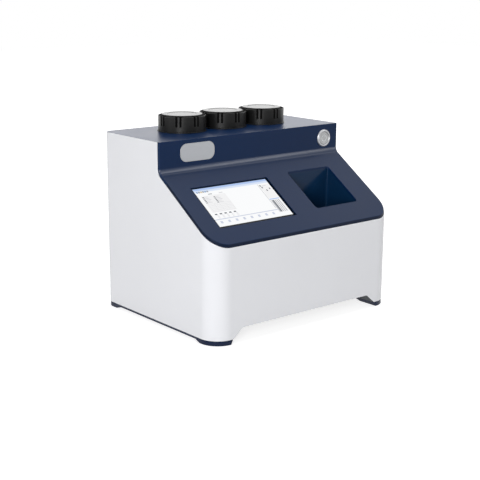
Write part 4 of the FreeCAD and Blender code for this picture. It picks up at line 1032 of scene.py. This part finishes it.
def sample_panel(page):
    """Two columns of entries above a grid, with a head."""
    page.patch("grey", 0.15, 0.16, 0.05, 0.02)
    page.patch("line", 0.29, 0.16, 0.05, 0.02)
    page.patch("panel", 0.04, 0.2, 0.32, 0.44)
    for left, upper in ((0.05, 0.225), (0.19, 0.245)):
        page.column(["ink"] * 5, left, upper, 0.022, 0.02, 0.036, 2)
        for row in range(5):
            page.patch("line", left + 0.03, upper + row * 0.036, 0.04 + 0.012 * (row % 3), 0.014, 2)
    page.column(["line"] * 6, 0.06, 0.42, 0.29, 0.004, 0.04, 2)
    page.row(["line"] * 5, 0.06, 0.42, 0.002, 0.204, 0.0725, 2)


def button_rows(page):
    """Steps of a measurement, and the keys along the lower edge."""
    page.row(["ink"] * 5, 0.05, 0.675, 0.03, 0.03, 0.062)
    page.row(["line"] * 5, 0.07, 0.71, 0.006, 0.09, 0.062)
    page.row(["line"] * 5, 0.084, 0.71, 0.004, 0.09, 0.062)
    page.patch("lilac", 0.0, 0.81, 0.86, 0.02)
    page.row(["lilac"] * 8, 0.05, 0.865, 0.03, 0.06, 0.1)


def station_panel(page):
    """State of the stations on the right, above their bars."""
    page.patch("grey", 0.84, 0.11, 0.004, 0.67)
    page.patch("panel", 0.85, 0.13, 0.14, 0.38)
    for left, upper in ((0.858, 0.14), (0.868, 0.19), (0.905, 0.275), (0.955, 0.24)):
        page.patch("ink", left, upper, 0.016, 0.04, 2)
    page.patch("line", 0.89, 0.16, 0.05, 0.015, 2)
    page.patch("bar", 0.85, 0.525, 0.14, 0.025)
    page.patch("panel", 0.85, 0.56, 0.135, 0.34)
    page.patch("line", 0.855, 0.57, 0.013, 0.32, 2)
    page.patch("grey", 0.868, 0.57, 0.015, 0.32, 2)
    page.patch("ink", 0.883, 0.57, 0.014, 0.32, 2)
    page.row(["grey"] * 3, 0.91, 0.57, 0.008, 0.32, 0.025, 2)


def screen_picture():
    """The instrument's page on its screen, as flat lit patches without lettering."""
    page = ScreenPage()
    for part in (title_bar, sample_panel, button_rows, station_panel):
        part(page)
    mesh = bpy.data.meshes.new("screen_page")
    page.bm.to_mesh(mesh)
    page.bm.free()
    finishes = [glow("screen_" + name, shown) for name, shown in PAGE_COLOURS.items()]
    adds_to(new_piece("screen_page", mesh, finishes), "display_module")


# --- power button -----------------------------------------------------------------------------


BUTTON_CENTRE = at(BUTTON[0], FACE_SETBACK - COVER_PROUD, BUTTON[1])
BEZEL_STEEL = turned_metal("turned_bezel_steel", (167, 168, 171), 0.36, BUTTON_CENTRE, "Y")
PLUNGER_STEEL = turned_metal("turned_plunger_steel", (148, 149, 150), 0.34, BUTTON_CENTRE, "Y")

# Outlines of the power button as pairs of radius and height off the cover's face, and the sizes
# of its mark, in millimetres. The bezel's runs up its bore, over its brow and back down its
# barrel, the plunger's from the middle of its dish over its rounded edge.
BEZEL_OUTLINE = (
    (10.9, -21.9), (10.9, 1.5), (11.3, 1.95), (12.0, 2.1), (12.9, 2.05), (13.6, 1.8),
    (14.2, 1.3), (14.55, 0.7), (14.6, 0.3), (14.6, 0.02), (12.3, 0.02), (12.3, -21.9),
    (10.9, -21.9))
PLUNGER_OUTLINE = (
    (0.0, 1.35), (6.0, 1.42), (8.9, 1.6), (9.7, 1.7), (10.2, 1.6), (10.5, 1.3),
    (10.6, 0.9), (10.6, -9.95), (0.0, -9.95))
MARK_RADIUS = 4.6
MARK_WIDTH = 0.9
MARK_LIFTS = (1.2, 1.5)


def lathe(name, outline, material, steps=96):
    """Turns an outline of (radius, height) pairs about the button's axis. An outline point
    on the axis becomes a single vertex."""
    bm = bmesh.new()
    rings = []
    for radius, height in outline:
        angles = arc(0, 360, steps)[:-1] if radius > 1e-6 else [0.0]
        points = [Vector((radius * math.cos(angle), -height, radius * math.sin(angle)))
                  for angle in angles]
        rings.append([bm.verts.new(BUTTON_CENTRE + point * MM) for point in points])
    for near, far in zip(rings, rings[1:]):
        for index in range(steps):
            following = (index + 1) % steps
            corners = [near[index % len(near)], near[following % len(near)],
                       far[following % len(far)], far[index % len(far)]]
            corners = list(dict.fromkeys(corners))
            if len(corners) > 2:
                bm.faces.new(corners)
    piece = new_piece(name, mesh_from(name, bm), [material])
    return soften(piece, 0.0, limit=25.0)


def power_button():
    """Turned bezel and plunger."""
    stands_for(lathe("power_bezel", BEZEL_OUTLINE, BEZEL_STEEL), "button_bezel")
    stands_for(lathe("power_plunger", PLUNGER_OUTLINE, PLUNGER_STEEL), "button_plunger")


def power_mark():
    """The plain sign of a power switch on the plunger: an open ring and a bar."""
    bm = bmesh.new()
    angles = arc(-235, 55, 30)
    for start, end in zip(angles, angles[1:]):
        corners = []
        for reach, angle in ((MARK_RADIUS, start), (MARK_RADIUS + MARK_WIDTH, start),
                             (MARK_RADIUS + MARK_WIDTH, end), (MARK_RADIUS, end)):
            corners.append((reach * math.cos(angle), reach * math.sin(angle)))
        raised_block(bm, corners)
    side = MARK_WIDTH / 2
    raised_block(bm, [(-side, 1.2), (side, 1.2), (side, 6.4), (-side, 6.4)])
    mark = new_piece("power_mark", mesh_from("power_mark", bm), [POWER_MARK_INK])
    adds_to(mark, "button_plunger")


def raised_block(bm, corners):
    """A thin block of the power mark from inside the plunger's face to just above it."""
    low, high = ([bm.verts.new(BUTTON_CENTRE + Vector((x, -lift, z)) * MM) for x, z in corners]
                 for lift in MARK_LIFTS)
    bm.faces.new(high)
    bm.faces.new(low[::-1])
    for index in range(4):
        other = (index + 1) % 4
        bm.faces.new((low[index], low[other], high[other], high[index]))


# --- the rest of the instrument ---------------------------------------------------------------


# Finer fit of the remaining pieces, in millimetres.
GLASS_SHIFT = (-0.7, -1.3, -0.2)
DISC_SHIFT = (0.0, 0.0, 0.7)
BADGE = (-145.7, -80.2, 252.05, 279.95)
BADGE_THICKNESS = 0.8
TRAY_WALL = 2.5
TRAY_RIM = 218.65
SLOT_FLOOR = 35.0
SLOT_PITCH = 45.0
SLOT_DEEPER = 1.8
RAIL_TOE = 0.7
RAIL_LEAN = 3.4

# Pairs of a place along the CAD rail, or a height on it, and where it is shown.
RAIL_RUN = ((-1.0, -1.0), (200.0, 200.0), (241.0, 244.0), (251.0, 257.0), (269.0, 269.0),
            (300.0, 300.0))
RAIL_RISE = ((0.0, 0.0), (1.0, PAD_THICKNESS), (5.5, 4.4), (8.0, 8.0), (9.0, 9.0))


def moved(x, y, z):
    """Shifts a piece to its exact seat in the cover."""
    return lambda spot: spot + Vector((x, y, z))


def fitted(node_name, low, high):
    """Stretches a piece slightly so that it fills its seat from low to high."""
    now_low, now_high = cad_box(node_name)
    grown = [(b - a) / (d - c) for a, b, c, d in zip(low, high, now_low, now_high)]
    return lambda spot: Vector(a + (s - c) * g for a, s, c, g in zip(low, spot, now_low, grown))


def fitted_badge():
    """Seats the badge on the cover's upright face."""
    left, right, low, high = BADGE
    face = FRONT_PLANE + FACE_SETBACK - COVER_PROUD
    return fitted("badge_plate", (left, face - BADGE_THICKNESS, low), (right, face, high))


def fitted_tray():
    """Seats the tray round the well, its rim just under the cover."""
    left, right, front, rear = WELL
    floor = round(cad_box("well_tray")[0].z, 1)
    return fitted("well_tray", (left - TRAY_WALL, FRONT_PLANE + front - TRAY_WALL, floor),
                  (right + TRAY_WALL, FRONT_PLANE + rear + TRAY_WALL, TRAY_RIM))


def read_off(value, knots):
    """Reads a value off straight runs between knots."""
    for (start, low), (end, high) in zip(knots, knots[1:]):
        if value <= end:
            return low + (value - start) * (high - low) / (end - start)
    return value


def trimmed_rail(spot):
    """Thickens the strip, slants the inner ends and shortens the rear foot of a foot rail."""
    depth = read_off(spot.y - FRONT_PLANE, RAIL_RUN)
    height = read_off(spot.z, RAIL_RISE)
    across = abs(spot.x)
    if across < LEG_INNER - 1.0:
        share = (FOOT_HEIGHT - height) / (FOOT_HEIGHT - PAD_THICKNESS)
        across = LEG_INNER + RAIL_TOE + RAIL_LEAN * share
    return Vector((math.copysign(across, spot.x), FRONT_PLANE + depth, height))


def deeper_slots(station):
    """Deepens the grip slots of a cap, which stand in pairs round its side."""
    centre = Vector((station, FRONT_PLANE + STATION_DEPTH, 0.0))

    def trim(spot):
        reach = (spot - centre).to_2d()
        if not SLOT_FLOOR - 0.1 < reach.length < SLOT_FLOOR + 0.5:
            return spot
        turn = math.degrees(math.atan2(reach.y, reach.x))
        turn = math.radians(round(turn / SLOT_PITCH) * SLOT_PITCH)
        return spot - Vector((math.cos(turn), math.sin(turn), 0.0)) * SLOT_DEEPER
    return trim


def touch_glass():
    """Dark border of the touch glass round the lit area."""
    finish = Finish("touch_glass_border")
    smear = finish.noise(30.0)
    material = finish.surface(Base_Color=plain((7, 9, 13)), Roughness=0.3 + 0.05 * smear,
                              Specular_IOR_Level=0.1)
    finished_copy("touch_glass", material, 0.2, trim=moved(*GLASS_SHIFT))


def stations():
    """Cap, disc, ring and steel parts of the three sample stations."""
    for side, x in zip(("left", "middle", "right"), STATIONS):
        centre = at(x, STATION_DEPTH, TOP)
        steel = turned_metal(f"{side}_station_steel", (166, 168, 173), 0.28, centre)
        finished_copy(f"{side}_cap", CAP_BLACK, 0.35, trim=deeper_slots(x))
        finished_copy(f"{side}_cap_disc", DISC_BLACK, 0.25, trim=moved(*DISC_SHIFT))
        finished_copy(f"{side}_neck_ring", CAP_BLACK, 0.3, 1)
        for part in ("seal_plug", "cap_screw", "chamber"):
            finished_copy(f"{side}_{part}", steel, 0.15, 1)
        for part, material in STATION_DRESSED.items():
            dress(f"{side}_{part}", material)


def rounded_nodes():
    """Nodes that get rounded edges, and a finer fit where one is given."""
    for name, material, width, trim in (
            ("base_pan", PAN_SHADE_GREY, 0.3, None),
            ("rear_panel", WHITE, 0.0, None),
            ("left_foot_rail", NAVY_RAIL, 0.6, trimmed_rail),
            ("right_foot_rail", NAVY_RAIL, 0.6, trimmed_rail),
            ("well_tray", NAVY_TRAY_PAINTED_LIGHT, 0.0, fitted_tray()),
            ("gas_inlet_fitting", NICKEL, 0.15, None),
            ("gas_vent_fitting", NICKEL, 0.15, None),
            ("mains_inlet", INLET_BLACK, 0.25, None),
            ("mains_rocker", INLET_BLACK, 0.2, None),
            ("badge_plate", SILVER, 0.3, fitted_badge())):
        finished_copy(name, material, width, trim=trim)


# --- studio -----------------------------------------------------------------------------------


# Brightness of the surround on the object, and the floor: half its side and where it runs out
# into white in metres, its paint, and its own light close by.
SURROUND_LIGHT = 0.02
FLOOR_REACH = 6.0
FLOOR_FADE = (0.5, 1.6)
FLOOR_PAINT = 0.6
FLOOR_LIGHT = 0.78


class Surround(Finish):
    """The studio's even surround."""

    def __init__(self, name):
        world = bpy.data.worlds.new(name)
        bpy.context.scene.world = world
        self.plan(world)

    def finished(self, shader):
        self.node("OutputWorld", None, {"Surface": shader}, None)


def studio_world():
    """White where it is seen, and a faint light on the object."""
    surround = Surround("studio")
    strength = SURROUND_LIGHT + (1.0 - SURROUND_LIGHT) * surround.seen_directly()
    inputs = {"Color": (1.0, 1.0, 1.0, 1.0), "Strength": strength}
    surround.finished(surround.node("Background", None, inputs))


def studio_floor():
    """A pale floor that shows the object's soft shadow and runs out into white."""
    bm = bmesh.new()
    bmesh.ops.create_grid(bm, x_segments=1, y_segments=1, size=FLOOR_REACH)
    mesh = bpy.data.meshes.new("studio_floor")
    bm.to_mesh(mesh)
    bm.free()
    paint = Finish("studio_floor_paint")
    reach = paint.node("VectorMath", {"operation": "LENGTH"}, {0: paint.place}, "Value")
    fade_start, fade_end = FLOOR_FADE
    far = paint.node("MapRange", None,
                     {"Value": reach, "From Min": fade_start, "From Max": fade_end})
    lit = paint.node("BsdfDiffuse", None, {"Color": (FLOOR_PAINT,) * 3 + (1.0,)})
    inputs = {"Color": paint.tint((FLOOR_LIGHT,) * 3, (1.0, 1.0, 1.0), far),
              "Strength": paint.seen_directly()}
    lift = paint.node("Emission", None, inputs)
    paint.finished(paint.node("AddShader", None, {0: lit, 1: lift}))
    new_piece("studio_floor", mesh, [paint.material])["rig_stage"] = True


# Lamps: name, place, width, height and radiance. All face the middle of the body.
SOFTBOXES = (
    ("corner", (-2.5, -1.93, 0.9), 0.22, 1.6, 46.0),
    ("front", (-2.1, -2.55, 0.9), 1.0, 1.9, 4.8),
    ("left", (-3.2, 0.3, 0.8), 1.6, 1.4, 2.3),
    ("right", (2.1, -2.2, 1.5), 0.6, 2.8, 3.3),
    ("top", (0.3, 0.2, 2.6), 1.6, 1.6, 3.5),
    ("slope", (1.9, -0.2, 2.5), 1.2, 1.2, 1.25),
    ("rear", (1.2, 2.12, 0.75), 2.0, 1.1, 1.28),
    ("right_side", (3.1, 0.9, 0.9), 1.6, 1.4, 2.0),
    ("back", (0.2, 3.2, 0.35), 2.0, 0.6, 3.0))
BODY_MIDDLE = Vector((0.0, 0.0, 0.15))


def softbox(name, place, width, height, radiance):
    """A rectangular lamp of an even brightness, out of the camera's sight."""
    light = bpy.data.lights.new(name, "AREA")
    light.shape = "RECTANGLE"
    light.size = width
    light.size_y = height
    light.energy = radiance * math.pi * width * height
    lamp = bpy.data.objects.new(name, light)
    lamp.location = place
    lamp.rotation_euler = (BODY_MIDDLE - Vector(place)).to_track_quat("-Z", "Y").to_euler()
    lamp.visible_camera = False
    bpy.context.scene.collection.objects.link(lamp)


# Camera: lens and sensor in millimetres, place in metres, turns in degrees.
CAMERA_LENS = 79.43
CAMERA_SENSOR = 36.0
CAMERA_PLACE = (-1.0818, -1.2885, 0.5195)
CAMERA_YAW = 39.657
CAMERA_PITCH = 13.788
CAMERA_ROLL = 0.296


def studio_camera():
    """The camera, turned by yaw, then tipped down, then rolled."""
    camera = bpy.data.cameras.new("studio_camera")
    camera.lens = CAMERA_LENS
    camera.sensor_width = CAMERA_SENSOR
    holder = bpy.data.objects.new("studio_camera", camera)
    yaw, pitch, roll = map(math.radians, (CAMERA_YAW, CAMERA_PITCH, CAMERA_ROLL))
    ahead = Vector((math.sin(yaw) * math.cos(pitch), math.cos(yaw) * math.cos(pitch),
                    -math.sin(pitch)))
    right = Vector((math.cos(yaw), -math.sin(yaw), 0.0))
    above = right.cross(ahead)
    rolled_right = right * math.cos(roll) + above * math.sin(roll)
    rolled_above = above * math.cos(roll) - right * math.sin(roll)
    matrix = Matrix((rolled_right, rolled_above, -ahead)).transposed().to_4x4()
    matrix.translation = CAMERA_PLACE
    holder.matrix_world = matrix
    bpy.context.scene.collection.objects.link(holder)
    bpy.context.scene.camera = holder


outer_shell()
top_cover()
touch_glass()
screen_picture()
power_button()
power_mark()
stations()
rounded_nodes()
for node_name, finish in DRESSED.items():
    dress(node_name, finish)
panel_screws()
foot_pads()
studio_world()
studio_floor()
for name, *lamp in SOFTBOXES:
    softbox(name + "_softbox", *lamp)
studio_camera()
bpy.context.scene.view_settings.view_transform = "Standard"

low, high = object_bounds()
